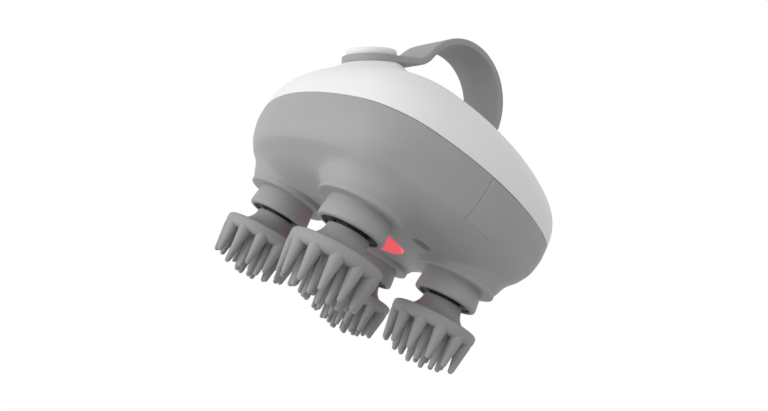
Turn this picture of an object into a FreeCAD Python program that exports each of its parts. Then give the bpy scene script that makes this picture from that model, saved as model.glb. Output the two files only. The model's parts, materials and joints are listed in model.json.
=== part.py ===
import FreeCAD, Part
import math
import os
from types import SimpleNamespace

import Sketcher

# Handheld scalp massager with four turning heads.
# Z is up, the tips of the massage tines stand on Z = 0 and the body's axis is the Z axis.
# X runs along the hand strap, from the power button to the strap's far end.

# Driving dimensions, in millimetres, degrees and tooth counts
SIZES = {
    # body
    "side_reach": 46.1,
    "corner_bulge": 4.2,
    "corner_radius": 25.3,
    "waist_reach": 22.0,
    "dome_height": 27.5,
    "housing_depth": 21.4,
    "body_wall": 2.0,
    "seam": 0.3,
    "seam_inset": 0.45,
    "seam_width": 1.2,
    "lip_depth": 1.8,
    "lip_wall": 1.0,
    "snug": 0.15,
    "close_fit": 0.04,
    "running_fit": 0.05,
    "end_play": 0.2,
    "overrun": 1.0,
    # bosses that carry the heads
    "head_margin": 21.026,
    "boss_radius": 12.6,
    "boss_stand": 1.7,
    "bead_step": 0.33,
    "bead_height": 3.0,
    "bead_round": 0.5,
    # socket collars and lip seals
    "collar_radius": 9.85,
    "collar_top_radius": 9.3,
    "collar_height": 6.3,
    "collar_wall": 1.6,
    "collar_rim": 1.6,
    "collar_round": 0.9,
    "spigot_depth": 1.4,
    "spigot_wall": 0.8,
    "seal_height": 1.3,
    "seal_inset": 0.6,
    "seal_gap": 0.3,
    # massage heads
    "neck_radius": 6.2,
    "neck_length": 6.0,
    "neck_land": 0.2,
    "flare_radius": 5.4,
    "plate_radius": 13.3,
    "plate_thickness": 3.7,
    "plate_round": 0.7,
    "plate_foot_round": 2.0,
    "tine_length": 11.1,
    "middle_tine_length": 10.1,
    "outer_tine_length": 8.6,
    "middle_tine_lean": 1.0,
    "outer_tine_lean": 1.5,
    "tine_radius": 1.75,
    "outer_tine_radius": 1.95,
    "tine_tip_radius": 0.8,
    "outer_ring_radius": 11.25,
    "middle_ring_radius": 7.1,
    "inner_ring_radius": 2.9,
    "outer_tines": 12,
    "middle_tines": 8,
    "inner_tines": 4,
    # drive hubs moulded into the heads
    "hub_radius": 4.4,
    "hub_flange_radius": 8.4,
    "hub_flange": 1.2,
    "hub_skin": 1.4,
    "hub_gap": 1.0,
    "drive_radius": 3.2,
    "drive_length": 9.5,
    # spindles and bushes
    "spindle_radius": 2.5,
    "bush_radius": 6.0,
    "bush_flange_radius": 7.2,
    "bush_flange": 1.0,
    "bush_recess": 0.5,
    "top_bush_radius": 4.2,
    "top_bush_flange_radius": 5.4,
    "top_bush_flange": 0.8,
    # gear train
    "sun_teeth": 24,
    "head_teeth": 14,
    "wheel_teeth": 38,
    "pinion_teeth": 12,
    "wheel_module": 0.75,
    "backlash": 0.2,
    "gear_face": 4.0,
    "wheel_face": 2.8,
    "pinion_face": 3.4,
    "gear_hub_radius": 4.0,
    "sun_hub_radius": 7.0,
    "sun_hub_height": 0.8,
    "wheel_gap": 1.2,
    "axle_radius": 2.0,
    "axle_seat": 2.0,
    "axle_boss_radius": 4.0,
    # gear chassis and its posts
    "chassis_gap": 4.1,
    "chassis_drop": 1.2,
    "chassis_thickness": 2.0,
    "post_inset": 10.6,
    "post_spread": 12.5,
    "post_radius": 3.0,
    "post_length": 10.8,
    "screw_radius": 1.2,
    "screw_length": 8.0,
    "screw_head_radius": 2.5,
    "screw_head_height": 1.6,
    # lamp in the middle of the underside
    "lens_radius": 11.8,
    "lens_thickness": 1.4,
    "lens_stand": 0.25,
    "lens_round": 0.4,
    "led_space": 0.9,
    "led_board_thickness": 1.0,
    "led_size": 2.0,
    "led_height": 0.7,
    "led_ring_radius": 6.5,
    "lamp_wall": 2.0,
    # power button, seated in the strap's ring end on a pedestal
    "button_inset": 16.4,
    "button_drop": 3.9,
    "button_tilt": 34.7,
    "button_radius": 7.75,
    "button_stand": 2.1,
    "button_round": 0.7,
    "button_sink": 0.3,
    "stem_radius": 3.0,
    "guide_length": 5.4,
    "clip_radius": 3.8,
    "clip_thickness": 0.6,
    "stem_end": 0.6,
    "switch_gap": 0.75,
    "plunger_radius": 1.7,
    "plunger_height": 0.7,
    "switch_width": 6.0,
    "switch_height": 3.4,
    "switch_board_length": 13.0,
    "switch_board_width": 17.0,
    "switch_board_thickness": 1.2,
    "switch_post_offset": 6.2,
    "switch_post_radius": 2.0,
    "pedestal_radius": 9.3,
    "pedestal_foot_radius": 11.4,
    "pedestal_depth": 5.0,
    # hand strap
    "strap_width": 17.4,
    "strap_thickness": 2.2,
    "ring_radius": 9.05,
    "ring_lip": 0.6,
    "ring_lip_radius": 6.0,
    "retainer_radius": 7.5,
    "retainer_thickness": 0.5,
    "arch_radius": 18.6,
    "arch_shift": 0.6,
    "arch_lift": 5.3,
    "bend_radius": 8.0,
    "strap_foot_width": 5.2,
    "strap_foot_height": 2.5,
    "strap_seat_width": 9.0,
    "strap_seat_drop": 6.6,
    # charging port and its cover
    "port_width": 13.0,
    "port_height": 12.6,
    "port_cover_thickness": 1.2,
    "port_seat_gap": 0.3,
    "hinge_radius": 0.5,
    "hinge_length": 8.0,
    "hinge_inset": 2.94,
    "port_pad_depth": 4.6,
    "port_pad_margin": 2.0,
    "socket_width": 9.0,
    "socket_height": 3.3,
    "socket_depth": 7.4,
    "socket_wall": 0.4,
    "socket_drop": 6.6,
    "charge_board_width": 13.0,
    "charge_board_depth": 11.0,
    "charge_board_thickness": 1.0,
    "shelf_thickness": 1.2,
    # battery, motor and main board
    "battery_radius": 7.0,
    "battery_length": 48.0,
    "battery_cap_radius": 2.6,
    "battery_cap_height": 1.2,
    "battery_offset": 17.0,
    "saddle_width": 4.0,
    "saddle_depth": 12.0,
    "saddle_height": 4.0,
    "saddle_offset": 15.0,
    "saddle_floor": 0.6,
    "motor_radius": 10.0,
    "motor_length": 15.0,
    "motor_round": 1.0,
    "motor_boss_radius": 3.5,
    "motor_boss_height": 1.0,
    "motor_shaft_radius": 1.0,
    "motor_shaft_depth": 6.0,
    "main_board_length": 26.0,
    "main_board_width": 14.0,
    "main_board_thickness": 1.2,
    "main_board_x": 7.5,
    "main_board_y": -8.0,
    "standoff_radius": 2.2,
    "standoff_height": 3.0,
    "standoff_inset": 3.0,
    "chip_length": 7.0,
    "chip_width": 6.0,
    "chip_height": 1.2,
}

# Plan sections of the lower housing: depth, corner reach, corner radius and side reach,
# each as a share of the way from its value at the bosses to its value at the parting line
housing_shares = (
    (0.0, 1.0, 1.0, 1.0),
    (0.15, 0.995, 0.95, 0.9964),
    (0.40, 0.89, 0.57, 0.9703),
    (0.63, 0.60, 0.31, 0.899),
    (0.76, 0.32, 0.27, 0.703),
    (0.863, 0.18, 0.22, 0.47),
    (0.944, 0.11, 0.10, 0.21),
    (1.0, 0.046, 0.0285, 0.0),
)

# The dome's outline is a superellipse: steps of its angle and its two exponents
dome_step_shares = (0.0, 0.05, 0.13, 0.26, 0.42, 0.57, 0.73, 0.855, 0.925)
dome_spread_power = 1.43
dome_rise_power = 0.79

pressure_angle = math.radians(20.0)
addendum_share = 0.9
dedendum_share = 1.2

CORNERS = ((1, 1), (-1, 1), (-1, -1), (1, -1))
Vector = FreeCAD.Vector
UP = Vector(0, 0, 1)

doc = FreeCAD.newDocument("ScalpMassager")
sheet = doc.addObject("Spreadsheet::Sheet", "Sizes")
for row, (alias, number) in enumerate(SIZES.items(), start=1):
    sheet.set(f"A{row}", alias)
    sheet.set(f"B{row}", str(number))
    sheet.setAlias(f"B{row}", alias)
doc.recompute()


class Size:
    """A length that carries its number and the sheet expression that gives it."""

    def __init__(self, value, text):
        self.value = value
        self.text = text

    def __add__(self, other):
        return Size(self.value + other.value, f"({self.text} + {other.text})")

    def __sub__(self, other):
        return Size(self.value - other.value, f"({self.text} - {other.text})")

    def __mul__(self, count):
        return Size(self.value * count, f"({self.text} * {count})")

    def __truediv__(self, count):
        return Size(self.value / count, f"({self.text} / {count})")

    def __neg__(self):
        return Size(-self.value, f"(-{self.text})")


s = SimpleNamespace(**{alias: Size(float(getattr(sheet, alias)), f"Sizes.{alias}") for alias in SIZES})
ZERO = Size(0.0, "0")

# Plan measures, from the body's axis out, and heights above the parting line
corner_reach = s.side_reach + s.corner_bulge
head_distance = corner_reach - s.head_margin
head_offset = head_distance * math.sqrt(0.5)
post_span = s.side_reach - s.post_inset
chassis_radius = s.side_reach - s.body_wall - s.chassis_gap
button_offset = s.side_reach - s.button_inset
button_rise = s.dome_height - s.button_drop
strap_seat_rise = s.dome_height - s.strap_seat_drop
arch_rise = s.dome_height + s.arch_lift

# Heights of the main levels, from the tine tips up
plate_foot = s.tine_length
plate_top = plate_foot + s.plate_thickness
collar_foot = plate_top + s.neck_length
boss_face = collar_foot + s.collar_height
parting = boss_face + s.housing_depth
soffit = boss_face + s.boss_stand
floor_top = soffit + s.body_wall
chassis_top = parting - s.chassis_drop
chassis_foot = chassis_top - s.chassis_thickness
wheel_top = chassis_foot - s.wheel_gap
wheel_foot = wheel_top - s.wheel_face
sun_top = wheel_foot - s.sun_hub_height
sun_foot = sun_top - s.gear_face
platform_top = sun_foot - s.wheel_gap
lens_foot = soffit - s.lens_stand
lens_top = lens_foot + s.lens_thickness
led_foot = lens_top + s.led_space
led_top = led_foot + s.led_board_thickness
motor_distance = s.wheel_module * ((s.wheel_teeth.value + s.pinion_teeth.value) / 2)

nodes = []


def node(thing, label):
    """Names a finished sub-part."""
    thing.Label = label
    nodes.append(thing)
    return thing


def bind(thing, **sizes):
    """Binds properties to sheet expressions and returns the object."""
    for name, size in sizes.items():
        thing.setExpression(name, size.text)
    return thing


def place(thing, x=ZERO, y=ZERO, z=ZERO):
    for axis, size in zip("xyz", (x, y, z)):
        thing.setExpression(f"Placement.Base.{axis}", size.text)
    return thing


def cylinder(name, radius, height, x=ZERO, y=ZERO, z=ZERO):
    thing = bind(doc.addObject("Part::Cylinder", name), Radius=radius, Height=height)
    return place(thing, x, y, z)


def block(name, length, width, height, x=ZERO, y=ZERO, z=ZERO):
    """A box that is centred in X and Y on its place and stands on it."""
    thing = bind(doc.addObject("Part::Box", name), Length=length, Width=width, Height=height)
    return place(thing, x - length / 2, y - width / 2, z)


def prism(name, radius, height, z):
    thing = bind(doc.addObject("Part::Prism", name), Circumradius=radius, Height=height)
    thing.Polygon = 6
    return place(thing, z=z)


def fuse(name, things):
    thing = doc.addObject("Part::MultiFuse", name)
    thing.Shapes = things
    thing.Refine = True
    return thing


def cut(name, base, tools):
    thing = doc.addObject("Part::Cut", name)
    thing.Base = base
    thing.Tool = tools[0] if len(tools) == 1 else fuse(name + "_tools", tools)
    thing.Refine = True
    return thing


def common(name, base, tool):
    thing = doc.addObject("Part::Common", name)
    thing.Base = base
    thing.Tool = tool
    return thing


def feature(name, shape):
    thing = doc.addObject("Part::Feature", name)
    thing.Shape = shape
    return thing


def turned(name, outline):
    """A body turned about Z from an outline of (radius, height) points, in order."""
    body = doc.addObject("PartDesign::Body", name)
    planes = {plane.Role: plane for plane in body.Origin.OriginFeatures}
    sketch = body.newObject("Sketcher::SketchObject", name + "_outline")
    sketch.AttachmentSupport = [(planes["XZ_Plane"], "")]
    sketch.MapMode = "FlatFace"
    points = [Vector(radius.value, height.value, 0) for radius, height in outline]
    count = len(points)
    for index in range(count):
        sketch.addGeometry(Part.LineSegment(points[index], points[(index + 1) % count]), False)
    for index in range(count):
        following = (index + 1) % count
        sketch.addConstraint(Sketcher.Constraint("Coincident", index, 2, following, 1))
    for index, (radius, height) in enumerate(outline):
        if radius is ZERO:
            sketch.addConstraint(Sketcher.Constraint("PointOnObject", index, 1, -2))
        else:
            number = sketch.addConstraint(Sketcher.Constraint("DistanceX", index, 1, radius.value))
            sketch.setExpression(f"Constraints[{number}]", radius.text)
        if height is ZERO:
            sketch.addConstraint(Sketcher.Constraint("PointOnObject", index, 1, -1))
        else:
            number = sketch.addConstraint(Sketcher.Constraint("DistanceY", index, 1, height.value))
            sketch.setExpression(f"Constraints[{number}]", height.text)
    turn = body.newObject("PartDesign::Revolution", name + "_turn")
    turn.Profile = sketch
    turn.ReferenceAxis = (sketch, ["V_Axis"])
    turn.Angle = 360.0
    body.Tip = turn
    return body


def tilted(thing):
    """Sets a piece made about its own Z axis on the button's tilted axis."""
    turn = FreeCAD.Rotation(Vector(0, -1, 0), s.button_tilt.value)
    thing.Placement = FreeCAD.Placement(Vector(), turn)
    thing.setExpression("Placement.Rotation.Angle", s.button_tilt.text)
    return place(thing, x=-button_offset, z=parting + button_rise)


# Outlines of the body

def plan_wire(height, reach, radius, side):
    """Closed outline of four corner arcs and the four side arcs tangent to them."""
    diagonal = math.sqrt(0.5)
    centre = (reach - radius) * diagonal
    offset = side - centre
    hollow = (radius ** 2 - centre ** 2 - offset ** 2) / (2 * (offset - radius))
    share = radius / (radius + hollow)
    join = Vector(centre + (side + hollow - centre) * share, centre - centre * share, height)
    below = Vector(join.x, -join.y, height)
    across = Vector(join.y, join.x, height)
    side_arc = Part.Arc(below, Vector(side, 0, height), join).toShape()
    corner_arc = Part.Arc(join, Vector(reach * diagonal, reach * diagonal, height), across).toShape()
    edges = []
    for quarter in range(4):
        for arc in (side_arc, corner_arc):
            turned_arc = arc.copy()
            turned_arc.rotate(Vector(), UP, 90 * quarter)
            edges.append(turned_arc)
    return Part.Wire(edges)


def housing_solid(inset, lift, seam):
    """The lower housing's outer form, drawn in by inset, raised by lift and cut off below a seam."""
    depth = parting.value - soffit.value
    boss_reach = head_distance.value + s.boss_radius.value
    wires = []
    for down, out, round_share, flank in housing_shares:
        height = parting.value - depth * down + lift - seam * (1 - down)
        reach = boss_reach + (corner_reach.value - boss_reach) * out
        radius = s.boss_radius.value + (s.corner_radius.value - s.boss_radius.value) * round_share
        side = s.waist_reach.value + (s.side_reach.value - s.waist_reach.value) * flank
        wires.append(plan_wire(height, reach - inset, radius - inset, side - inset))
    return Part.makeLoft(wires, True, False)


def dome_solid(inset, seam):
    """The upper cover's outer form, drawn in by inset and standing on a seam."""
    wires = []
    for step in dome_step_shares:
        angle = math.pi / 2 * step
        spread = math.cos(angle) ** dome_spread_power
        rise = math.sin(angle) ** dome_rise_power
        height = parting.value + seam + (s.dome_height.value - inset - seam) * rise
        reach = (corner_reach.value - inset) * spread
        radius = (s.corner_radius.value - inset) * spread
        wires.append(plan_wire(height, reach, radius, (s.side_reach.value - inset) * spread))
    return Part.makeLoft(wires, True, False)


def plan_ring(outer_inset, inner_inset, foot, height):
    """A band that follows the parting line between two insets."""
    faces = []
    for inset in (outer_inset, inner_inset):
        wire = plan_wire(foot, corner_reach.value - inset, s.corner_radius.value - inset,
                         s.side_reach.value - inset)
        faces.append(Part.Face(wire).extrude(Vector(0, 0, height)))
    return faces[0].cut(faces[1])


half_seam = s.seam / 2
wall = s.body_wall.value
dome_outer = feature("DomeOuter", dome_solid(0.0, half_seam.value))
housing_outer = feature("HousingOuter", housing_solid(0.0, 0.0, half_seam.value))


# Lower housing: lofted bowl whose sections pass from the squircle plan into four round bosses

def lower_housing():
    hollow = feature("HousingHollow", housing_solid(wall, wall, 0.0))
    bowl = cut("HousingBowl", housing_outer, [hollow])
    adds = [bowl]
    cuts = []
    for index, (sx, sy) in enumerate(CORNERS, start=1):
        x, y = head_offset * sx, head_offset * sy
        bead = cylinder(f"Bead{index}", s.boss_radius + s.bead_step, s.bead_height, x, y, boss_face)
        doc.recompute()
        rounded = doc.addObject("Part::Fillet", f"RoundedBead{index}")
        rounded.Base = bead
        foot_rim = next(number for number, edge in enumerate(bead.Shape.Edges, start=1)
                        if edge.Closed and edge.BoundBox.ZMax < (boss_face + s.bead_round).value)
        rounded.Edges = [(foot_rim, s.bead_round.value, s.bead_round.value)]
        adds.append(rounded)
        bore_height = floor_top - boss_face + s.overrun * 2
        cuts.append(cylinder(f"BushBore{index}", s.bush_radius + s.close_fit, bore_height,
                             x, y, boss_face - s.overrun))
        cuts.append(cylinder(f"SpigotBore{index}", s.collar_top_radius - s.collar_wall / 2,
                             s.spigot_depth + s.snug + s.overrun, x, y, boss_face - s.overrun))
        post_x, post_y = post_span * sx, s.post_spread * sy
        adds.append(cylinder(f"Post{index}", s.post_radius, s.post_length, post_x, post_y,
                             chassis_foot - s.post_length))
        cuts.append(cylinder(f"PostBore{index}", s.screw_radius + s.close_fit, s.screw_length,
                             post_x, post_y, chassis_foot - s.screw_length + s.overrun))
    lamp_radius = s.lens_radius + s.lamp_wall
    adds.append(cylinder("LampCup", lamp_radius, platform_top - soffit, z=soffit))
    adds.append(cylinder("AxleBoss", s.axle_boss_radius, sun_foot - s.end_play - soffit, z=soffit))
    cuts.append(cylinder("LampPocket", s.lens_radius + s.snug, led_top - soffit + s.overrun,
                         z=soffit - s.overrun))
    cuts.append(cylinder("AxleBore", s.axle_radius + s.close_fit, s.axle_seat + s.wheel_gap + s.overrun,
                         z=platform_top - s.axle_seat))
    pad_depth = s.port_pad_depth + s.overrun
    pad = block("PortPadBlock", s.port_width + s.port_pad_margin * 2, pad_depth,
                s.port_height + s.port_pad_margin, y=-(s.side_reach - s.port_pad_depth + pad_depth / 2),
                z=parting - half_seam - s.port_height - s.port_pad_margin)
    adds.append(common("PortPad", pad, housing_outer))
    groove_inset = wall + s.snug.value / 2
    groove_depth = s.lip_depth.value + s.snug.value
    groove = plan_ring(groove_inset, groove_inset + s.lip_wall.value + s.snug.value,
                       parting.value - groove_depth, groove_depth + s.overrun.value)
    cuts.append(feature("LipGroove", groove))
    shelf_depth = s.charge_board_depth + s.overrun
    adds.append(block("ChargeShelf", s.charge_board_width, shelf_depth, s.shelf_thickness,
                      y=-(s.side_reach - s.port_pad_depth - s.charge_board_depth / 2 + s.overrun / 2),
                      z=socket_foot - s.charge_board_thickness - s.shelf_thickness))
    cuts.append(port_seat())
    cuts.append(block("SocketWindow", s.socket_width + s.snug * 2, s.port_pad_depth * 2,
                      s.socket_height + s.snug * 2, y=-(s.side_reach - s.port_pad_depth / 2),
                      z=socket_foot - s.snug))
    cuts.append(block("RimTrim", corner_reach * 3, corner_reach * 3, s.overrun * 4,
                      z=parting - half_seam))
    whole = fuse("HousingWhole", adds)
    node(cut("LowerHousing", whole, cuts), "lower_housing")


def port_block(name, margin):
    """The column of the side wall that the port cover fills, widened by margin."""
    height = s.port_height + margin * 2
    return block(name, s.port_width + margin * 2, s.port_pad_depth * 4, height,
                 y=-s.side_reach, z=parting - half_seam - s.port_height - margin)


def port_seat():
    depth = s.port_cover_thickness.value + s.port_seat_gap.value
    core = feature("PortSeatCore", housing_solid(depth, 0.0, -s.overrun.value))
    return cut("PortSeat", port_block("PortSeatBlock", s.snug), [core])


def port_cover():
    core = feature("PortCoverCore", housing_solid(s.port_cover_thickness.value, 0.0, -s.overrun.value))
    column = port_block("PortCoverBlock", ZERO)
    skin = common("PortCoverSkin", column, housing_outer)
    hinge_y = s.hinge_inset - s.side_reach
    hinge_height = parting - half_seam - s.port_height + s.hinge_radius
    depth = s.port_cover_thickness * 2
    wedge = bind(doc.addObject("Part::Box", "PortCoverWedge"), Length=s.port_width * 2, Width=depth * 2,
                 Height=depth)
    wedge.Placement.Rotation = FreeCAD.Rotation(Vector(1, 0, 0), 45)
    place(wedge, x=-s.port_width, y=hinge_y, z=hinge_height - depth * math.sqrt(2))
    roll = cylinder("PortCoverRoll", s.hinge_radius, s.hinge_length)
    roll.Placement.Rotation = FreeCAD.Rotation(Vector(0, 1, 0), 90)
    place(roll, x=-s.hinge_length / 2, y=hinge_y, z=hinge_height)
    flap = cut("PortFlap", skin, [core, wedge])
    node(fuse("PortCover", [flap, roll]), "charging_port_cover")


socket_foot = parting - s.socket_drop - s.socket_height / 2


def parting_gasket():
    inset = s.seam_inset.value
    band = plan_ring(inset, inset + s.seam_width.value, (parting - half_seam).value, s.seam.value)
    node(feature("PartingGasket", band), "parting_gasket")


# Upper cover: domed shell with the button's pedestal, the strap's slot and seat and a locating lip

guide_foot = -s.guide_length
clip_foot = guide_foot - s.clip_thickness
stem_foot = clip_foot - s.stem_end
plunger_top = stem_foot - s.switch_gap
switch_top = plunger_top - s.plunger_height
switch_board_top = switch_top - s.switch_height
switch_board_foot = switch_board_top - s.switch_board_thickness
retainer_top = s.ring_lip + s.retainer_thickness
strap_x = s.arch_shift + s.arch_radius


def upper_cover():
    hollow = feature("DomeHollow", dome_solid(wall, -s.overrun.value))
    lip_outer = wall + s.snug.value
    lip_inner = lip_outer + s.lip_wall.value
    lip_foot = (parting - s.lip_depth).value
    lip_root = (parting + half_seam).value
    lip_low = plan_ring(lip_outer, lip_inner, lip_foot, lip_root - lip_foot)
    lip_high = plan_ring(wall / 2, lip_inner, lip_root, s.lip_depth.value)
    lip = feature("CoverLip", lip_low.fuse(lip_high))
    cone = bind(doc.addObject("Part::Cone", "PedestalCone"), Radius1=s.pedestal_foot_radius,
                Radius2=s.pedestal_radius, Height=s.pedestal_depth)
    place(cone, z=-s.pedestal_depth)
    stack = [cone]
    stack.append(cylinder("PedestalHub", s.ring_lip_radius - s.snug, retainer_top + s.guide_length,
                          z=guide_foot))
    bores = [cylinder("GuideBore", s.stem_radius + s.running_fit,
                      s.guide_length * 2 + retainer_top, z=-s.guide_length * 2),
             cylinder("ClipRecess", s.clip_radius + s.snug * 2, s.guide_length,
                      z=guide_foot - s.guide_length)]
    for side, sign in (("Left", 1), ("Right", -1)):
        y = s.switch_post_offset * sign
        stack.append(cylinder(f"SwitchPost{side}", s.switch_post_radius,
                              -switch_board_top - s.pedestal_depth / 2, y=y, z=switch_board_top))
        bores.append(cylinder(f"SwitchPostBore{side}", s.screw_radius + s.close_fit,
                              s.screw_length / 2, y=y, z=switch_board_top - s.overrun))
    pedestal = tilted(fuse("Pedestal", stack))
    seat_depth = s.strap_width + s.strap_foot_height * 2
    seat_block = block("StrapSeatBlock", s.strap_seat_width, seat_depth, s.dome_height, x=strap_x,
                       z=parting + strap_seat_rise)
    seat = common("StrapSeat", seat_block, dome_outer)
    shell = cut("DomeShell", dome_outer, [hollow])
    slot = block("StrapSlot", s.strap_thickness + s.snug * 2, s.strap_width + s.snug * 2,
                 s.dome_height, x=strap_x, z=parting + strap_seat_rise - s.overrun)
    whole = fuse("CoverWhole", [shell, lip, pedestal, seat])
    node(cut("UpperCover", whole, [tilted(fuse("PedestalBores", bores)), slot]), "upper_cover")


# Hand strap: moulded band in an arch over the dome, with a ring end about the button

def strap_band():
    """The band's side view as lines and tangent arcs, drawn out over its width."""
    tilt = math.radians(s.button_tilt.value)
    along = Vector(math.cos(tilt), 0, math.sin(tilt))
    normal = Vector(-math.sin(tilt), 0, math.cos(tilt))
    half = s.strap_thickness.value / 2
    bend, arch = s.bend_radius.value, s.arch_radius.value
    start = Vector(-button_offset.value, 0, (parting + button_rise).value) + normal * half
    centre = Vector(s.arch_shift.value, 0, (parting + arch_rise).value)
    lead = start + normal * bend - centre
    pull = lead.dot(along)
    run = -pull - math.sqrt(pull ** 2 - lead.dot(lead) + (arch + bend) ** 2)
    bend_centre = start + along * run + normal * bend
    toward = (bend_centre - centre).normalize()
    foot = (parting + strap_seat_rise).value

    def between(first, second):
        return (first + second).normalize()

    def side_line(offset):
        """Points of one face of the band, offset from its middle line."""
        first = start + normal * offset
        bend_start = bend_centre - normal * (bend - offset)
        bend_middle = bend_centre + between(-normal, -toward) * (bend - offset)
        arch_start = centre + toward * (arch + offset)
        arch_middle = centre + between(between(toward, UP), between(UP, Vector(1, 0, 0))) * (arch + offset)
        arch_end = centre + Vector(arch + offset, 0, 0)
        last = Vector(arch_end.x, 0, foot)
        edges = [Part.LineSegment(first, bend_start), Part.Arc(bend_start, bend_middle, arch_start),
                 Part.Arc(arch_start, arch_middle, arch_end), Part.LineSegment(arch_end, last)]
        return first, last, [edge.toShape() for edge in edges]

    top_first, top_last, top_edges = side_line(half)
    low_first, low_last, low_edges = side_line(-half)
    ends = [Part.LineSegment(top_first, low_first).toShape(), Part.LineSegment(top_last, low_last).toShape()]
    face = Part.Face(Part.Wire(Part.__sortEdges__(top_edges + low_edges + ends)))
    face.translate(Vector(0, -s.strap_width.value / 2, 0))
    return face.extrude(Vector(0, s.strap_width.value, 0))


def hand_strap():
    band = feature("StrapBand", strap_band())
    ring = tilted(fuse("StrapRing", [cylinder("StrapRingDisc", s.ring_radius, s.strap_thickness),
                                     cylinder("StrapRingCore", s.ring_radius / 2, s.strap_thickness)]))
    foot = block("StrapFoot", s.strap_foot_width, s.strap_width, s.strap_foot_height, x=strap_x,
                 z=parting + strap_seat_rise - s.strap_foot_height)
    well = cylinder("StrapWell", s.button_radius + s.snug * 2, s.strap_thickness * 2, z=s.ring_lip)
    hole = cylinder("StrapHole", s.ring_lip_radius, s.strap_thickness * 2, z=-s.strap_thickness)
    whole = fuse("StrapWhole", [band, ring, foot])
    node(cut("HandStrap", whole, [tilted(fuse("StrapHoles", [well, hole]))]), "hand_strap")
    retainer = turned("StrapRetainer", [
        (s.ring_lip_radius - s.snug + s.close_fit, s.ring_lip),
        (s.retainer_radius, s.ring_lip),
        (s.retainer_radius, retainer_top),
        (s.ring_lip_radius - s.snug + s.close_fit, retainer_top),
    ])
    node(tilted(retainer), "strap_retainer")


# Power button: cap and stem that slide in the pedestal, with the switch under it

def power_button():
    cap_foot = s.strap_thickness - s.button_sink
    cap_top = s.strap_thickness + s.button_stand
    button = turned("PowerButton", [
        (ZERO, stem_foot),
        (s.stem_radius, stem_foot),
        (s.stem_radius, cap_foot),
        (s.button_radius, cap_foot),
        (s.button_radius, cap_top - s.button_round),
        (s.button_radius - s.button_round / 3, cap_top - s.button_round / 3),
        (s.button_radius - s.button_round, cap_top),
        (ZERO, cap_top),
    ])
    node(tilted(button), "power_button")
    clip = turned("StemClip", [
        (s.stem_radius + s.close_fit, clip_foot),
        (s.clip_radius, clip_foot),
        (s.clip_radius, guide_foot),
        (s.stem_radius + s.close_fit, guide_foot),
    ])
    node(tilted(clip), "stem_clip")


def switch_group():
    case = block("SwitchCase", s.switch_width, s.switch_width, s.switch_height, z=switch_board_top)
    plunger = cylinder("SwitchPlunger", s.plunger_radius, s.plunger_height, z=switch_top)
    node(tilted(fuse("TactSwitch", [case, plunger])), "tact_switch")
    plate = block("SwitchPlate", s.switch_board_length, s.switch_board_width, s.switch_board_thickness,
                  z=switch_board_foot)
    holes = []
    screws = []
    for sign in (1, -1):
        y = s.switch_post_offset * sign
        holes.append(cylinder(f"SwitchHole{len(holes)}", s.screw_radius + s.snug,
                              s.switch_board_thickness + s.overrun * 2,
                              y=y, z=switch_board_foot - s.overrun))
        screws.append(cylinder(f"SwitchScrew{len(screws)}", s.screw_radius,
                               s.switch_board_thickness + s.screw_length / 3, y=y, z=switch_board_foot))
        screws.append(cylinder(f"SwitchScrewHead{len(screws)}", s.screw_head_radius - s.screw_radius / 2,
                               s.screw_head_height, y=y, z=switch_board_foot - s.screw_head_height))
    node(tilted(cut("SwitchBoard", plate, holes)), "switch_board")
    node(tilted(fuse("SwitchBoardScrews", screws)), "switch_board_screws")


# Massage heads: moulded head on a drive hub, turned by a spindle in the boss

def head_shape():
    """One moulded head about its own axis: plate, flared neck, tines and the cavity of its hub."""
    edge, curve, reach = s.plate_round.value, s.plate_foot_round.value, s.plate_radius.value
    foot, top = plate_foot.value, plate_top.value
    neck, flare = s.neck_radius.value, s.flare_radius.value
    neck_top = top + flare + s.neck_land.value
    sag = 1 - math.sqrt(0.5)
    points = [Vector(0, 0, foot), Vector(reach - curve, 0, foot),
              Vector(reach - curve * sag, 0, foot + curve * sag),
              Vector(reach, 0, foot + curve), Vector(reach, 0, top - edge),
              Vector(reach - edge * sag, 0, top - edge * sag), Vector(reach - edge, 0, top),
              Vector(neck + flare, 0, top), Vector(neck + flare * sag, 0, top + flare * sag),
              Vector(neck, 0, top + flare), Vector(neck, 0, neck_top), Vector(0, 0, neck_top)]
    edges = [Part.LineSegment(points[0], points[1]), Part.Arc(points[1], points[2], points[3]),
             Part.LineSegment(points[3], points[4]), Part.Arc(points[4], points[5], points[6]),
             Part.LineSegment(points[6], points[7]), Part.Arc(points[7], points[8], points[9]),
             Part.LineSegment(points[9], points[10]), Part.LineSegment(points[10], points[11]),
             Part.LineSegment(points[11], points[0])]
    profile = Part.Face(Part.Wire([edge.toShape() for edge in edges]))
    body = profile.revolve(Vector(), UP, 360)
    rings = ((s.outer_tines, s.outer_tine_radius, s.outer_ring_radius, s.outer_tine_length,
              s.outer_tine_lean),
             (s.middle_tines, s.tine_radius, s.middle_ring_radius, s.middle_tine_length,
              s.middle_tine_lean),
             (s.inner_tines, s.tine_radius, s.inner_ring_radius, s.tine_length, ZERO))
    tines = []
    for count, base, ring, length, lean in rings:
        for index in range(int(count.value)):
            tine = tine_shape(base.value, length.value)
            tine.rotate(Vector(0, 0, foot), Vector(0, 1, 0), lean.value)
            tine.translate(Vector(ring.value, 0, 0))
            tine.rotate(Vector(), UP, 360 * index / count.value)
            tines.append(tine)
    return body.multiFuse(tines).removeSplitter()


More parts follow.
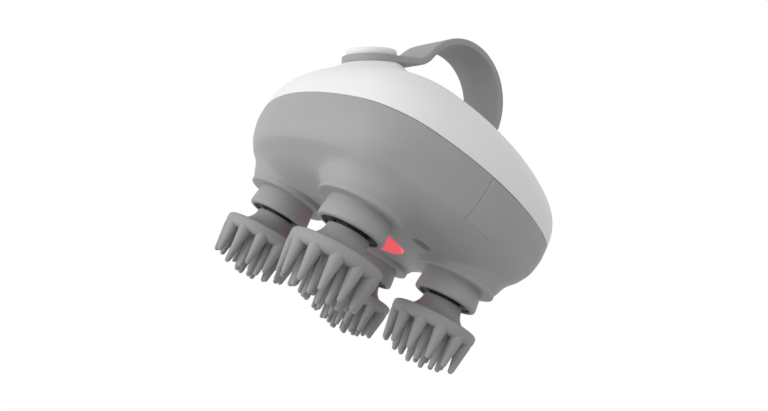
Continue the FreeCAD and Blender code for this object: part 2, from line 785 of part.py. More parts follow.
def tine_shape(base, length):
    """One tapered tine with a round tip, hung below the plate, whose root stands in the plate's rounding."""
    tip = s.tine_tip_radius.value
    root = plate_foot.value
    top = root + s.plate_foot_round.value
    end = root - length
    slant = math.sqrt(0.5)
    points = [Vector(0, 0, end), Vector(tip * slant, 0, end + tip * (1 - slant)), Vector(tip, 0, end + tip),
              Vector(base, 0, root), Vector(base, 0, top), Vector(0, 0, top)]
    edges = [Part.Arc(points[0], points[1], points[2]), Part.LineSegment(points[2], points[3]),
             Part.LineSegment(points[3], points[4]), Part.LineSegment(points[4], points[5]),
             Part.LineSegment(points[5], points[0])]
    return Part.Face(Part.Wire([edge.toShape() for edge in edges])).revolve(Vector(), UP, 360)


hub_top = boss_face - s.hub_gap
flange_foot = plate_foot + s.hub_skin
flange_top = flange_foot + s.hub_flange
drive_top = boss_face - s.end_play
drive_foot = drive_top - s.drive_length


def hub_outline(gap):
    return [
        (ZERO, flange_foot - gap),
        (s.hub_flange_radius + gap, flange_foot - gap),
        (s.hub_flange_radius + gap, flange_top + gap),
        (s.hub_radius + gap, flange_top + gap),
        (s.hub_radius + gap, hub_top + gap),
        (ZERO, hub_top + gap),
    ]


def massage_heads():
    blank = head_shape()
    for index, (sx, sy) in enumerate(CORNERS, start=1):
        x, y = head_offset * sx, head_offset * sy
        cavity = turned(f"HubCavity{index}", hub_outline(s.close_fit))
        head = cut(f"MassageHead{index}", feature(f"HeadBlank{index}", blank), [cavity])
        node(place(head, x, y), f"massage_head_{index}")
        hub_blank = turned(f"HubBlank{index}", hub_outline(ZERO))
        socket = prism(f"HubSocket{index}", s.drive_radius + s.close_fit * 2,
                       s.drive_length + s.overrun, drive_foot - s.end_play)
        node(place(cut(f"HeadHub{index}", hub_blank, [socket]), x, y), f"head_hub_{index}")
        shaft = cylinder(f"SpindleShaft{index}", s.spindle_radius,
                         chassis_top - drive_top, z=drive_top)
        drive = prism(f"SpindleDrive{index}", s.drive_radius, s.drive_length, drive_foot)
        node(place(fuse(f"HeadSpindle{index}", [shaft, drive]), x, y), f"head_spindle_{index}")


def collars_and_seals():
    mouth = s.collar_radius - s.collar_wall
    spigot_radius = s.collar_top_radius - s.collar_wall / 2 - s.snug
    for index, (sx, sy) in enumerate(CORNERS, start=1):
        x, y = head_offset * sx, head_offset * sy
        collar = turned(f"SocketCollar{index}", [
            (mouth, collar_foot + s.collar_round),
            (mouth + s.collar_round / 2, collar_foot),
            (s.collar_radius - s.collar_round, collar_foot),
            (s.collar_radius, collar_foot + s.collar_round),
            (s.collar_radius, collar_foot + s.collar_rim),
            (s.collar_top_radius, boss_face),
            (spigot_radius, boss_face),
            (spigot_radius, boss_face + s.spigot_depth),
            (spigot_radius - s.spigot_wall, boss_face + s.spigot_depth),
            (spigot_radius - s.spigot_wall, boss_face - s.collar_wall),
            (mouth, boss_face - s.collar_wall * 2),
        ])
        node(place(collar, x, y), f"socket_collar_{index}")
        seal_foot = collar_foot + s.seal_inset
        seal = turned(f"LipSeal{index}", [
            (s.hub_radius + s.seal_gap, seal_foot + s.seal_height / 2),
            (s.hub_radius + s.seal_gap + s.seal_height / 4, seal_foot),
            (mouth - s.close_fit, seal_foot),
            (mouth - s.close_fit, seal_foot + s.seal_height),
            (s.hub_radius + s.seal_gap + s.seal_height / 4, seal_foot + s.seal_height),
        ])
        node(place(seal, x, y), f"lip_seal_{index}")


def bushes():
    bore = s.spindle_radius + s.running_fit
    low, high = [], []
    for index, (sx, sy) in enumerate(CORNERS, start=1):
        x, y = head_offset * sx, head_offset * sy
        lower = turned(f"LowerBush{index}", [
            (bore, boss_face + s.bush_recess),
            (s.bush_radius, boss_face + s.bush_recess),
            (s.bush_radius, floor_top),
            (s.bush_flange_radius, floor_top),
            (s.bush_flange_radius, floor_top + s.bush_flange),
            (bore, floor_top + s.bush_flange),
        ])
        low.append(place(lower, x, y))
        upper = turned(f"UpperBush{index}", [
            (bore, chassis_foot - s.top_bush_flange),
            (s.top_bush_flange_radius, chassis_foot - s.top_bush_flange),
            (s.top_bush_flange_radius, chassis_foot),
            (s.top_bush_radius, chassis_foot),
            (s.top_bush_radius, chassis_top),
            (bore, chassis_top),
        ])
        high.append(place(upper, x, y))
    node(fuse("LowerBushes", low), "lower_bushes")
    node(fuse("UpperBushes", high), "upper_bushes")


# Gear train: motor pinion, reduction wheel, sun gear and the four head gears

def gear_shape(teeth, module, face, foot, first_angle, bore):
    """A spur gear with involute flanks, with its first tooth at an angle."""
    pitch = module * teeth / 2
    base = pitch * math.cos(pressure_angle)
    radii = (pitch - dedendum_share * module, pitch, pitch + addendum_share * module)
    half_tooth = math.pi / (2 * teeth) - s.backlash.value / (2 * pitch)

    def involute(angle):
        return math.tan(angle) - angle

    def half_width(radius):
        slope = math.acos(min(1.0, base / radius))
        return half_tooth + involute(pressure_angle) - involute(slope)

    points = []
    for tooth in range(teeth):
        middle = first_angle + 2 * math.pi * tooth / teeth
        flank = [(radius, -half_width(radius)) for radius in radii]
        for radius, turn in flank + [(radius, -turn) for radius, turn in reversed(flank)]:
            points.append(Vector(radius * math.cos(middle + turn), radius * math.sin(middle + turn), foot))
    wire = Part.makePolygon(points + points[:1])
    solid = Part.Face(wire).extrude(Vector(0, 0, face))
    hole = Part.makeCylinder(bore, face * 3, Vector(0, 0, foot - face))
    return solid.cut(hole)


def washer(radius, bore, foot, top):
    ring = Part.makeCylinder(radius, top - foot, Vector(0, 0, foot))
    return ring.cut(Part.makeCylinder(bore, top - foot, Vector(0, 0, foot)))


def gear_train():
    sun_count, head_count = int(s.sun_teeth.value), int(s.head_teeth.value)
    wheel_count, pinion_count = int(s.wheel_teeth.value), int(s.pinion_teeth.value)
    module = 2 * head_distance.value / (sun_count + head_count)
    axle_bore = s.axle_radius.value + s.running_fit.value
    sun = gear_shape(sun_count, module, s.gear_face.value, sun_foot.value, math.pi / 4, axle_bore)
    hub = washer(s.sun_hub_radius.value, axle_bore, sun_top.value, wheel_foot.value)
    node(feature("SunGear", sun.fuse(hub).removeSplitter()), "sun_gear")
    wheel = gear_shape(wheel_count, s.wheel_module.value, s.wheel_face.value, wheel_foot.value,
                       math.pi / 2, axle_bore)
    collar = washer(s.gear_hub_radius.value, axle_bore, wheel_top.value, (chassis_foot - s.end_play).value)
    node(feature("ReductionWheel", wheel.fuse(collar).removeSplitter()), "reduction_wheel")
    spindle_bore = s.spindle_radius.value + s.close_fit.value
    gear_foot = (floor_top + s.bush_flange + s.end_play).value
    gear_top = (chassis_foot - s.top_bush_flange - s.end_play).value
    for index, (sx, sy) in enumerate(CORNERS, start=1):
        inward = math.atan2(-sy, -sx)
        gear = gear_shape(head_count, module, s.gear_face.value, sun_foot.value,
                          inward + math.pi / head_count, spindle_bore)
        sleeve = [washer(s.gear_hub_radius.value, spindle_bore, gear_foot, sun_foot.value),
                  washer(s.gear_hub_radius.value, spindle_bore, sun_top.value, gear_top)]
        thing = feature(f"HeadGear{index}", gear.multiFuse(sleeve).removeSplitter())
        node(place(thing, head_offset * sx, head_offset * sy), f"head_gear_{index}")
    pinion_foot = wheel_foot - (s.pinion_face - s.wheel_face) / 2
    pinion = gear_shape(pinion_count, s.wheel_module.value, s.pinion_face.value, pinion_foot.value,
                        -math.pi / 2 + math.pi / pinion_count,
                        s.motor_shaft_radius.value + s.close_fit.value)
    node(place(feature("MotorPinion", pinion), y=motor_distance), "motor_pinion")
    shaft_foot = pinion_foot - s.end_play
    shaft = cylinder("MotorShaft", s.motor_shaft_radius,
                     chassis_top + s.motor_shaft_depth - shaft_foot, y=motor_distance, z=shaft_foot)
    node(shaft, "motor_shaft")
    axle_foot = platform_top - s.axle_seat
    node(cylinder("CentreAxle", s.axle_radius, chassis_top - axle_foot, z=axle_foot), "centre_axle")


def drive_motor():
    boss_foot = chassis_top - s.motor_boss_height
    bore = s.motor_shaft_radius + s.running_fit
    motor_top = chassis_top + s.motor_length
    shaft_top = chassis_top + s.motor_shaft_depth + s.end_play
    motor = turned("DriveMotor", [
        (bore, boss_foot),
        (s.motor_boss_radius, boss_foot),
        (s.motor_boss_radius, chassis_top),
        (s.motor_radius - s.motor_round, chassis_top),
        (s.motor_radius, chassis_top + s.motor_round),
        (s.motor_radius, motor_top - s.motor_round),
        (s.motor_radius - s.motor_round, motor_top),
        (s.motor_boss_radius, motor_top),
        (s.motor_boss_radius, motor_top + s.motor_boss_height),
        (ZERO, motor_top + s.motor_boss_height),
        (ZERO, shaft_top),
        (bore, shaft_top),
    ])
    node(place(motor, y=motor_distance), "drive_motor")


# Gear chassis: plate on the housing's posts that carries the bushes, motor, battery and main board

battery_axis = chassis_top + s.saddle_floor + s.battery_radius


def gear_chassis():
    plate = cylinder("ChassisPlate", chassis_radius, s.chassis_thickness, z=chassis_foot)
    adds = [plate]
    through = s.chassis_thickness + s.overrun * 2
    under = chassis_foot - s.overrun
    cuts = [cylinder("AxleHole", s.axle_radius + s.close_fit, through, z=under),
            cylinder("MotorHole", s.motor_boss_radius + s.close_fit, through, y=motor_distance, z=under)]
    screws = []
    for index, (sx, sy) in enumerate(CORNERS, start=1):
        cuts.append(cylinder(f"TopBushHole{index}", s.top_bush_radius + s.close_fit, through,
                             head_offset * sx, head_offset * sy, under))
        x, y = post_span * sx, s.post_spread * sy
        cuts.append(cylinder(f"ScrewHole{index}", s.screw_radius + s.snug, through, x, y, under))
        shank = s.screw_length - s.overrun * 2 + s.chassis_thickness
        screws.append(cylinder(f"ScrewShank{index}", s.screw_radius, shank, x, y, chassis_top - shank))
        screws.append(cylinder(f"ScrewHead{index}", s.screw_head_radius, s.screw_head_height,
                               x, y, chassis_top))
    for index, sign in enumerate((1, -1), start=1):
        adds.append(block(f"Saddle{index}", s.saddle_width, s.saddle_depth, s.saddle_height,
                          x=s.saddle_offset * sign, y=-s.battery_offset, z=chassis_top))
    well = cylinder("BatteryWell", s.battery_radius + s.close_fit, s.battery_length)
    well.Placement.Rotation = FreeCAD.Rotation(Vector(0, 1, 0), 90)
    cuts.append(place(well, x=-s.battery_length / 2, y=-s.battery_offset, z=battery_axis))
    board_screws = []
    board_y = s.main_board_y + s.main_board_width / 2
    for x in (s.main_board_x + s.standoff_inset, s.main_board_x + s.main_board_length - s.standoff_inset):
        label = f"{len(board_screws) // 2 + 1}"
        adds.append(cylinder("Standoff" + label, s.standoff_radius, s.standoff_height,
                             x, board_y, chassis_top))
        cuts.append(cylinder("StandoffBore" + label, s.screw_radius + s.close_fit, s.standoff_height,
                             x, board_y, chassis_top + s.overrun))
        board_foot = chassis_top + s.standoff_height
        shank = s.main_board_thickness + s.standoff_height / 2
        board_top = board_foot + s.main_board_thickness
        board_screws.append(cylinder("BoardScrew" + label, s.screw_radius, shank,
                                     x, board_y, board_top - shank))
        board_screws.append(cylinder("BoardScrewHead" + label, s.screw_head_radius, s.screw_head_height,
                                     x, board_y, board_top))
    node(cut("GearChassis", fuse("ChassisWhole", adds), cuts), "gear_chassis")
    node(fuse("ChassisScrews", screws), "chassis_screws")
    node(fuse("MainBoardScrews", board_screws), "main_board_screws")


def main_board():
    foot = chassis_top + s.standoff_height
    x = s.main_board_x + s.main_board_length / 2
    y = s.main_board_y + s.main_board_width / 2
    plate = block("BoardPlate", s.main_board_length, s.main_board_width, s.main_board_thickness, x, y, foot)
    chip = block("BoardChip", s.chip_length, s.chip_width, s.chip_height,
                 x, y, foot + s.main_board_thickness)
    holes = []
    for hole_x in (s.main_board_x + s.standoff_inset,
                   s.main_board_x + s.main_board_length - s.standoff_inset):
        holes.append(cylinder(f"BoardHole{len(holes)}", s.screw_radius + s.snug,
                              s.main_board_thickness + s.overrun * 2, hole_x, y, foot - s.overrun))
    node(cut("MainBoard", fuse("BoardWhole", [plate, chip]), holes), "main_board")


def battery_cell():
    cell = turned("BatteryCell", [
        (ZERO, ZERO),
        (s.battery_radius, ZERO),
        (s.battery_radius, s.battery_length - s.battery_cap_height),
        (s.battery_cap_radius, s.battery_length - s.battery_cap_height),
        (s.battery_cap_radius, s.battery_length),
        (ZERO, s.battery_length),
    ])
    cell.Placement.Rotation = FreeCAD.Rotation(Vector(0, 1, 0), 90)
    node(place(cell, x=-s.battery_length / 2, y=-s.battery_offset, z=battery_axis), "battery_cell")


# Lamp: red lens in the middle of the underside, lit by a small board

def lamp():
    lens = turned("LightLens", [
        (ZERO, lens_foot),
        (s.lens_radius - s.lens_round, lens_foot),
        (s.lens_radius, lens_foot + s.lens_round),
        (s.lens_radius, lens_top),
        (ZERO, lens_top),
    ])
    node(lens, "light_lens")
    node(cylinder("LedBoard", s.lens_radius, s.led_board_thickness, z=led_foot), "led_board")
    chips = []
    for index, (sx, sy) in enumerate(CORNERS, start=1):
        spread = s.led_ring_radius * math.sqrt(0.5)
        chips.append(block(f"Led{index}", s.led_size, s.led_size, s.led_height, spread * sx, spread * sy,
                           led_foot - s.led_height))
    node(fuse("LedChips", chips), "led_chips")


def charging_socket():
    mouth = s.side_reach - s.port_cover_thickness * 2
    y = -(mouth - s.socket_depth / 2)
    shell = block("SocketShell", s.socket_width, s.socket_depth, s.socket_height, y=y, z=socket_foot)
    hollow = block("SocketHollow", s.socket_width - s.socket_wall * 2, s.socket_depth,
                   s.socket_height - s.socket_wall * 2,
                   y=y - s.socket_wall * 2, z=socket_foot + s.socket_wall)
    tongue = block("SocketTongue", s.socket_width - s.socket_wall * 6, s.socket_depth - s.socket_wall * 2,
                   s.socket_wall * 2,
                   y=y + s.socket_wall, z=socket_foot + s.socket_height / 2 - s.socket_wall)
    node(fuse("ChargingSocket", [cut("SocketCan", shell, [hollow]), tongue]), "charging_socket")
    board_y = -(s.side_reach - s.port_pad_depth - s.charge_board_depth / 2)
    node(block("ChargingBoard", s.charge_board_width, s.charge_board_depth, s.charge_board_thickness,
               y=board_y, z=socket_foot - s.charge_board_thickness), "charging_board")


lower_housing()
port_cover()
parting_gasket()
upper_cover()
hand_strap()
power_button()
switch_group()
massage_heads()
collars_and_seals()
bushes()
gear_train()
drive_motor()
gear_chassis()
main_board()
battery_cell()
lamp()
charging_socket()

doc.recompute()

faults = []
for thing in doc.Objects:
    if {"Invalid", "Error"} & set(thing.State):
        faults.append(f"{thing.Label}: {thing.State}")
for thing in nodes:
    if thing.Shape.isNull() or not thing.Shape.isValid() or not thing.Shape.Solids:
        faults.append(f"{thing.Label}: no valid solid")
if faults:
    raise SystemExit("\n".join(faults))

os.makedirs("parts", exist_ok=True)
for thing in nodes:
    thing.Shape.exportStep(f"parts/{thing.Label}.step")
    box = thing.Shape.BoundBox
    print(f"{thing.Label}: {len(thing.Shape.Solids)} solids, {thing.Shape.Volume:.1f} mm3,"
          f" z {box.ZMin:.2f} to {box.ZMax:.2f}")
print(len(nodes), "nodes")
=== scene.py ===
import json
import math

import bpy
import numpy as np
from mathutils import Matrix, Vector


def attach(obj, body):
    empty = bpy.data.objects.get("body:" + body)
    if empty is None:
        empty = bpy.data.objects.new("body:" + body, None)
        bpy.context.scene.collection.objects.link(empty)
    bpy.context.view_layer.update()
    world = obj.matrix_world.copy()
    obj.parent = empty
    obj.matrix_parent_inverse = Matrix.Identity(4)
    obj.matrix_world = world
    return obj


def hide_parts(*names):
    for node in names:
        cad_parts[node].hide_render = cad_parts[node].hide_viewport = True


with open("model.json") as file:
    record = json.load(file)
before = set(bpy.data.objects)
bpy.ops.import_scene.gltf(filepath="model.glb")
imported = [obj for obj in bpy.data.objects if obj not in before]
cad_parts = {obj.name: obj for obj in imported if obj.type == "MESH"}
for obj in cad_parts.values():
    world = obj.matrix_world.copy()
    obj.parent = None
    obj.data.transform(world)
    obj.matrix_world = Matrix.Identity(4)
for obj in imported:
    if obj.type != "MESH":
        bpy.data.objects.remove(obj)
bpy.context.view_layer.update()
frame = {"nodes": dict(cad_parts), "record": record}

# Sizes in millimetres that several pieces share; heights count from the tine tips
MM = 0.001
PARTING, SOFFIT, BOSS_FACE, COLLAR_FOOT = 48.5, 28.8, 27.1, 20.8
PLATE_TOP, PLATE_FOOT = 14.8, 11.1
HALF_SEAM, SEAM_INSET, SEAM_LAND = 0.09, 0.45, 1.6
RIM, COVER_FOOT = PARTING - HALF_SEAM, PARTING + HALF_SEAM
WALL, EDGE = 2.0, 0.15
CORNER_REACH, SIDE_REACH, CORNER_RADIUS = 50.3, 46.1, 25.3
DOME_HEIGHT = 27.5
HEAD_OFFSET, BOSS_RADIUS, WAIST_REACH = 20.7, 12.6, 22.0
BOSS_REACH = HEAD_OFFSET * math.sqrt(2) + BOSS_RADIUS
LENS_RADIUS, LENS_FOOT, LENS_TOP = 11.8, 28.55, 29.95
CORNERS = ((1, 1), (-1, 1), (-1, -1), (1, -1))

# A rounded edge goes through a middle point at this share of its size from both faces
EDGE_SHARE = 0.3
EDGE_STEPS = np.array((0.0, EDGE_SHARE, 1.0))

# Plan sections of the lower housing: depth, corner reach, corner radius and side reach, as shares
HOUSING_SHARES = np.array((
    (0.0, 1.0, 1.0, 1.0),
    (0.15, 0.995, 0.95, 0.9964),
    (0.40, 0.89, 0.57, 0.9703),
    (0.63, 0.60, 0.31, 0.899),
    (0.76, 0.32, 0.27, 0.703),
    (0.863, 0.18, 0.22, 0.47),
    (0.944, 0.11, 0.10, 0.21),
    (1.0, 0.046, 0.0285, 0.0),
))
DOME_SPREAD_POWER, DOME_RISE_POWER = 1.43, 0.79

# Points round a turned form
SEGMENTS, FINE_SEGMENTS = 96, 128


# Points and faces

def strip(rows, closed=True, wrap=False, flip=False):
    """Quads between rows of points; closed joins each row's ends, wrap the last row to the first."""
    rows = [np.asarray(row, float) for row in rows]
    count = len(rows[0])
    faces = []
    for i in range(len(rows) if wrap else len(rows) - 1):
        low, high = i * count, (i + 1) % len(rows) * count
        for j in range(count if closed else count - 1):
            k = (j + 1) % count
            face = (low + j, low + k, high + k, high + j)
            faces.append(face[::-1] if flip else face)
    return np.concatenate(rows), faces


def merge(*pieces):
    verts, faces, base = [], [], 0
    for points, quads in pieces:
        verts.append(np.asarray(points, float))
        faces.extend(tuple(i + base for i in face) for face in quads)
        base += len(points)
    return np.concatenate(verts), faces


def lathe(profile, segments=SEGMENTS):
    """A turned form about Z; its profile of (radius, height) goes up the outside."""
    turn = np.linspace(0, 2 * math.pi, segments, endpoint=False)
    ring = np.stack([np.cos(turn), np.sin(turn)], -1)
    rows = [np.column_stack([ring * radius, np.full(segments, z)])
            for radius, z in profile if radius > 0]
    verts, faces = strip(rows)
    last = len(verts) - segments
    if profile[0][0] == 0:
        faces.append(tuple(range(segments))[::-1])
    if profile[-1][0] == 0:
        faces.append(tuple(range(last, last + segments)))
    return verts, faces


def moved(piece, matrix):
    verts, faces = piece
    m = np.array(matrix)
    return verts @ m[:3, :3].T + m[:3, 3], faces


def shifted(piece, x, y):
    return piece[0] + np.array((x, y, 0.0)), piece[1]


def arc(centre, radius, start, end, count):
    """Points of an arc in a profile, angles in degrees."""
    turn = np.radians(np.linspace(start, end, count))
    return [(centre[0] + radius * math.cos(a), centre[1] + radius * math.sin(a)) for a in turn]


def column(grid, index):
    return [row[index] for row in grid]


def level(outline, z):
    return np.column_stack([outline, np.full(len(outline), z)])


def spline(xs, ys, x):
    """Monotone cubic through the given points."""
    h = np.diff(xs)
    d = np.diff(ys) / h
    m = np.zeros(len(xs))
    m[0], m[-1] = d[0], d[-1]
    for i in range(1, len(xs) - 1):
        if d[i - 1] * d[i] > 0:
            a, b = 2 * h[i] + h[i - 1], h[i] + 2 * h[i - 1]
            m[i] = (a + b) / (a / d[i - 1] + b / d[i])
    i = int(np.clip(np.searchsorted(xs, x) - 1, 0, len(h) - 1))
    t = (x - xs[i]) / h[i]
    return ((1 + 2 * t) * (1 - t) ** 2 * ys[i] + t * (1 - t) ** 2 * h[i] * m[i]
            + t * t * (3 - 2 * t) * ys[i + 1] + t * t * (t - 1) * h[i] * m[i + 1])


def make(name, piece, body, slot, nodes, sharp=40.0):
    """A smooth mesh from points in millimetres, riding on a body in place of CAD nodes."""
    verts, faces = piece
    mesh = bpy.data.meshes.new(name)
    mesh.from_pydata((verts * MM).tolist(), [], faces)
    mesh.polygons.foreach_set("use_smooth", [True] * len(mesh.polygons))
    mesh.set_sharp_from_angle(angle=math.radians(sharp))
    mesh.materials.append(finish[slot])
    obj = bpy.data.objects.new(name, mesh)
    bpy.context.scene.collection.objects.link(obj)
    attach(obj, body)
    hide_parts(*nodes)
    return obj


# Materials: noise scales count per metre, the grain's height is in millimetres
CLOUD_SCALE, CLOUD_DETAIL, CLOUD_SPREAD, GLOSS_SPREAD = 90.0, 5.0, 0.25, 0.06
GRAIN_SCALE, GRAIN_DETAIL, GRAIN_HEIGHT = 3200.0, 3.0, 0.03
HAZE_SCALE = 120.0


def moulded(name, colour, rough, mottle=0.03, grain=0.15, specular=0.35):
    """A moulded finish: faintly clouded colour, uneven gloss and a fine eroded grain."""
    mat = bpy.data.materials.new(name)
    mat.use_nodes = True
    nodes, links = mat.node_tree.nodes, mat.node_tree.links
    shader = nodes["Principled BSDF"]
    shader.inputs["Specular IOR Level"].default_value = specular
    where = nodes.new("ShaderNodeTexCoord")
    cloud = nodes.new("ShaderNodeTexNoise")
    cloud.inputs["Scale"].default_value = CLOUD_SCALE
    cloud.inputs["Detail"].default_value = CLOUD_DETAIL
    links.new(where.outputs["Object"], cloud.inputs["Vector"])
    ramp = nodes.new("ShaderNodeValToRGB")
    for stop, side in zip(ramp.color_ramp.elements, (-1, 1)):
        stop.position = 0.5 + CLOUD_SPREAD * side
        stop.color = (*[min(1.0, channel * (1 + mottle * side)) for channel in colour], 1)
    links.new(cloud.outputs["Fac"], ramp.inputs["Fac"])
    links.new(ramp.outputs["Color"], shader.inputs["Base Color"])
    gloss = nodes.new("ShaderNodeMapRange")
    gloss.inputs["To Min"].default_value = rough - GLOSS_SPREAD
    gloss.inputs["To Max"].default_value = rough + GLOSS_SPREAD
    links.new(cloud.outputs["Fac"], gloss.inputs["Value"])
    links.new(gloss.outputs["Result"], shader.inputs["Roughness"])
    fine = nodes.new("ShaderNodeTexNoise")
    fine.inputs["Scale"].default_value = GRAIN_SCALE
    fine.inputs["Detail"].default_value = GRAIN_DETAIL
    links.new(where.outputs["Object"], fine.inputs["Vector"])
    bump = nodes.new("ShaderNodeBump")
    bump.inputs["Strength"].default_value = grain
    bump.inputs["Distance"].default_value = GRAIN_HEIGHT * MM
    links.new(fine.outputs["Fac"], bump.inputs["Height"])
    links.new(bump.outputs["Normal"], shader.inputs["Normal"])
    return mat


def metal(name, colour, rough):
    mat = moulded(name, colour, rough, mottle=0.08)
    mat.node_tree.nodes["Principled BSDF"].inputs["Metallic"].default_value = 1.0
    return mat


def glowing(name, dark, light, strength, rough=0.3):
    """A lit plastic whose glow is uneven, as over a few light chips."""
    mat = moulded(name, dark, rough, mottle=0.06)
    nodes, links = mat.node_tree.nodes, mat.node_tree.links
    where = nodes.new("ShaderNodeTexCoord")
    haze = nodes.new("ShaderNodeTexNoise")
    haze.inputs["Scale"].default_value = HAZE_SCALE
    links.new(where.outputs["Object"], haze.inputs["Vector"])
    ramp = nodes.new("ShaderNodeValToRGB")
    ramp.color_ramp.elements[0].color = (*dark, 1)
    ramp.color_ramp.elements[1].color = (*light, 1)
    links.new(haze.outputs["Fac"], ramp.inputs["Fac"])
    shader = nodes["Principled BSDF"]
    links.new(ramp.outputs["Color"], shader.inputs["Emission Color"])
    shader.inputs["Emission Strength"].default_value = strength
    return mat


finish = {
    "white_cover": moulded("white_cover", (0.86, 0.86, 0.86), 0.5, mottle=0.012),
    "grey_housing": moulded("grey_housing", (0.37, 0.37, 0.372), 0.52),
    "strap_silicone": moulded("strap_silicone", (0.34, 0.34, 0.342), 0.6, mottle=0.04, grain=0.25),
    "head_silicone": moulded("head_silicone", (0.33, 0.33, 0.332), 0.6, mottle=0.04, grain=0.25),
    "port_silicone": moulded("port_silicone", (0.37, 0.37, 0.372), 0.56),
    "black_rubber": moulded("black_rubber", (0.014, 0.014, 0.014), 0.6, mottle=0.2),
    "red_lens": glowing("red_lens", (0.94, 0.09, 0.12), (1.0, 0.12, 0.15), 0.5),
    "white_gear": moulded("white_gear", (0.82, 0.82, 0.79), 0.4),
    "grey_nylon": moulded("grey_nylon", (0.05, 0.05, 0.052), 0.5),
    "steel": metal("steel", (0.62, 0.62, 0.63), 0.3),
    "motor_can": metal("motor_can", (0.55, 0.55, 0.56), 0.38),
    "brass": metal("brass", (0.75, 0.58, 0.28), 0.35),
    "board_green": moulded("board_green", (0.04, 0.2, 0.08), 0.35, mottle=0.15),
    "switch_black": moulded("switch_black", (0.02, 0.02, 0.022), 0.45, mottle=0.15),
    "led_body": glowing("led_body", (0.8, 0.1, 0.12), (1.0, 0.3, 0.3), 1.0),
    "battery_wrap": moulded("battery_wrap", (0.08, 0.2, 0.42), 0.3, mottle=0.1),
}
for part in frame["record"]["subparts"]:
    skin = frame["nodes"][part["node"]].data
    skin.materials.clear()
    skin.materials.append(finish[part["material_slot"]])


# Body outline: four side arcs and four corner arcs, with columns of points along the port's edges
PORT_HALF, PORT_FOOT, PORT_SHARE = 6.65, 35.62, 0.8
BESIDE_PORT, ACROSS_PORT, CORNER_COUNT = 12, 15, 40
SIDE_STEPS = np.concatenate([np.arange(-BESIDE_PORT, 0) / BESIDE_PORT,
                             np.arange(ACROSS_PORT) / ACROSS_PORT,
                             1 + np.arange(BESIDE_PORT + 1) / BESIDE_PORT])
QUARTER = len(SIDE_STEPS) + CORNER_COUNT
AROUND, PORT_SIDE = 4 * QUARTER, 3 * QUARTER
PORT_COLUMNS = range(PORT_SIDE + BESIDE_PORT, PORT_SIDE + BESIDE_PORT + ACROSS_PORT)


def plan(reach, radius, side):
    """Outline of a section from its corner reach, corner radius and side reach."""
    centre = (reach - radius) * math.sqrt(0.5)
    offset = side - centre
    hollow = (radius ** 2 - centre ** 2 - offset ** 2) / (2 * (offset - radius))
    share = radius / (radius + hollow)
    join_x, join_y = centre + (side + hollow - centre) * share, centre - centre * share
    port = min(PORT_HALF, join_y * PORT_SHARE)
    y = np.interp(SIDE_STEPS, (-1, 0, 1, 2), (-join_y, -port, port, join_y))
    x = side + hollow - math.copysign(1, hollow) * np.sqrt(np.maximum(hollow ** 2 - y ** 2, 0))
    start = math.atan2(join_y - centre, join_x - centre)
    turn = np.linspace(start, math.pi / 2 - start, CORNER_COUNT + 2)[1:-1]
    corner = centre + radius * np.stack([np.cos(turn), np.sin(turn)], -1)
    quarter = np.concatenate([np.stack([x, y], -1), corner])
    quarters = [quarter, np.stack([-quarter[:, 1], quarter[:, 0]], -1)]
    return np.concatenate(quarters + [-q for q in quarters])


def housing_outline(z, inset=0.0):
    """Outline of the lower housing at a height, drawn in by inset."""
    down = min(max((PARTING - z) / (PARTING - SOFFIT), 0.0), 1.0)
    out, rounding, flank = (spline(HOUSING_SHARES[:, 0], HOUSING_SHARES[:, k], down) for k in (1, 2, 3))
    return plan(BOSS_REACH + (CORNER_REACH - BOSS_REACH) * out - inset,
                BOSS_RADIUS + (CORNER_RADIUS - BOSS_RADIUS) * rounding - inset,
                WAIST_REACH + (SIDE_REACH - WAIST_REACH) * flank - inset)


def dome_row(angle, inset=0.0, lift=0.0):
    """Row of the dome at an angle from rim to crown, drawn in by inset and raised by lift."""
    spread = math.cos(angle) ** DOME_SPREAD_POWER
    rise = math.sin(angle) ** DOME_RISE_POWER
    z = COVER_FOOT + (DOME_HEIGHT - HALF_SEAM - inset) * rise + lift
    return level(plan((CORNER_REACH - inset) * spread, (CORNER_RADIUS - inset) * spread,
                      (SIDE_REACH - inset) * spread), z)


def circle_row(outline, radius, z):
    """A circle with one point in the direction of each point of an outline."""
    turn = np.arctan2(outline[:, 1], outline[:, 0])
    return np.column_stack([radius * np.cos(turn), radius * np.sin(turn), np.full(len(turn), z)])


# Lower housing: bowl with a rounded rim and a slot in the underside; its rows lie closer below FINE_TOP
SLOT_X, SLOT_Y, SLOT_DEPTH, SLOT_WALL_POWER = 0.7, -24.0, 3.6, 0.3
SLOT_HALF_LENGTH, SLOT_HALF_WIDTH, FINE_TOP = 3.3, 1.3, 30.3
LENS_GAP = 0.15
WALL_ROWS, BELLY_ROWS, FINE_ROWS, INNER_ROWS = 40, 50, 36, 50
levels = [(RIM, SEAM_LAND)]
levels += [(RIM - EDGE * down, EDGE * inset) for down, inset in zip(EDGE_STEPS, EDGE_STEPS[::-1])]
levels += [(z, 0.0) for z in np.linspace(RIM - EDGE * 2, PORT_FOOT, WALL_ROWS)]
port_rows = len(levels) - 1
levels += [(z, 0.0) for z in np.linspace(PORT_FOOT, FINE_TOP, BELLY_ROWS)[1:]]
levels += [(z, 0.0) for z in np.linspace(FINE_TOP, SOFFIT, FINE_ROWS)[1:]]
rows = [level(housing_outline(z, inset), z) for z, inset in levels]
lamp_edge = housing_outline(SOFFIT)
rows += [circle_row(lamp_edge, LENS_RADIUS + LENS_GAP, z) for z in (SOFFIT, SOFFIT + WALL)]
inner_start = len(rows)
rows += [level(housing_outline(z - WALL, WALL), z) for z in np.linspace(SOFFIT + WALL, RIM, INNER_ROWS)]
for row in rows[port_rows + 1:]:
    away_x, away_y = (row[:, 0] - SLOT_X) / SLOT_HALF_LENGTH, (row[:, 1] - SLOT_Y) / SLOT_HALF_WIDTH
    row[:, 2] += SLOT_DEPTH * np.maximum(1 - away_x ** 2 - away_y ** 2, 0) ** SLOT_WALL_POWER
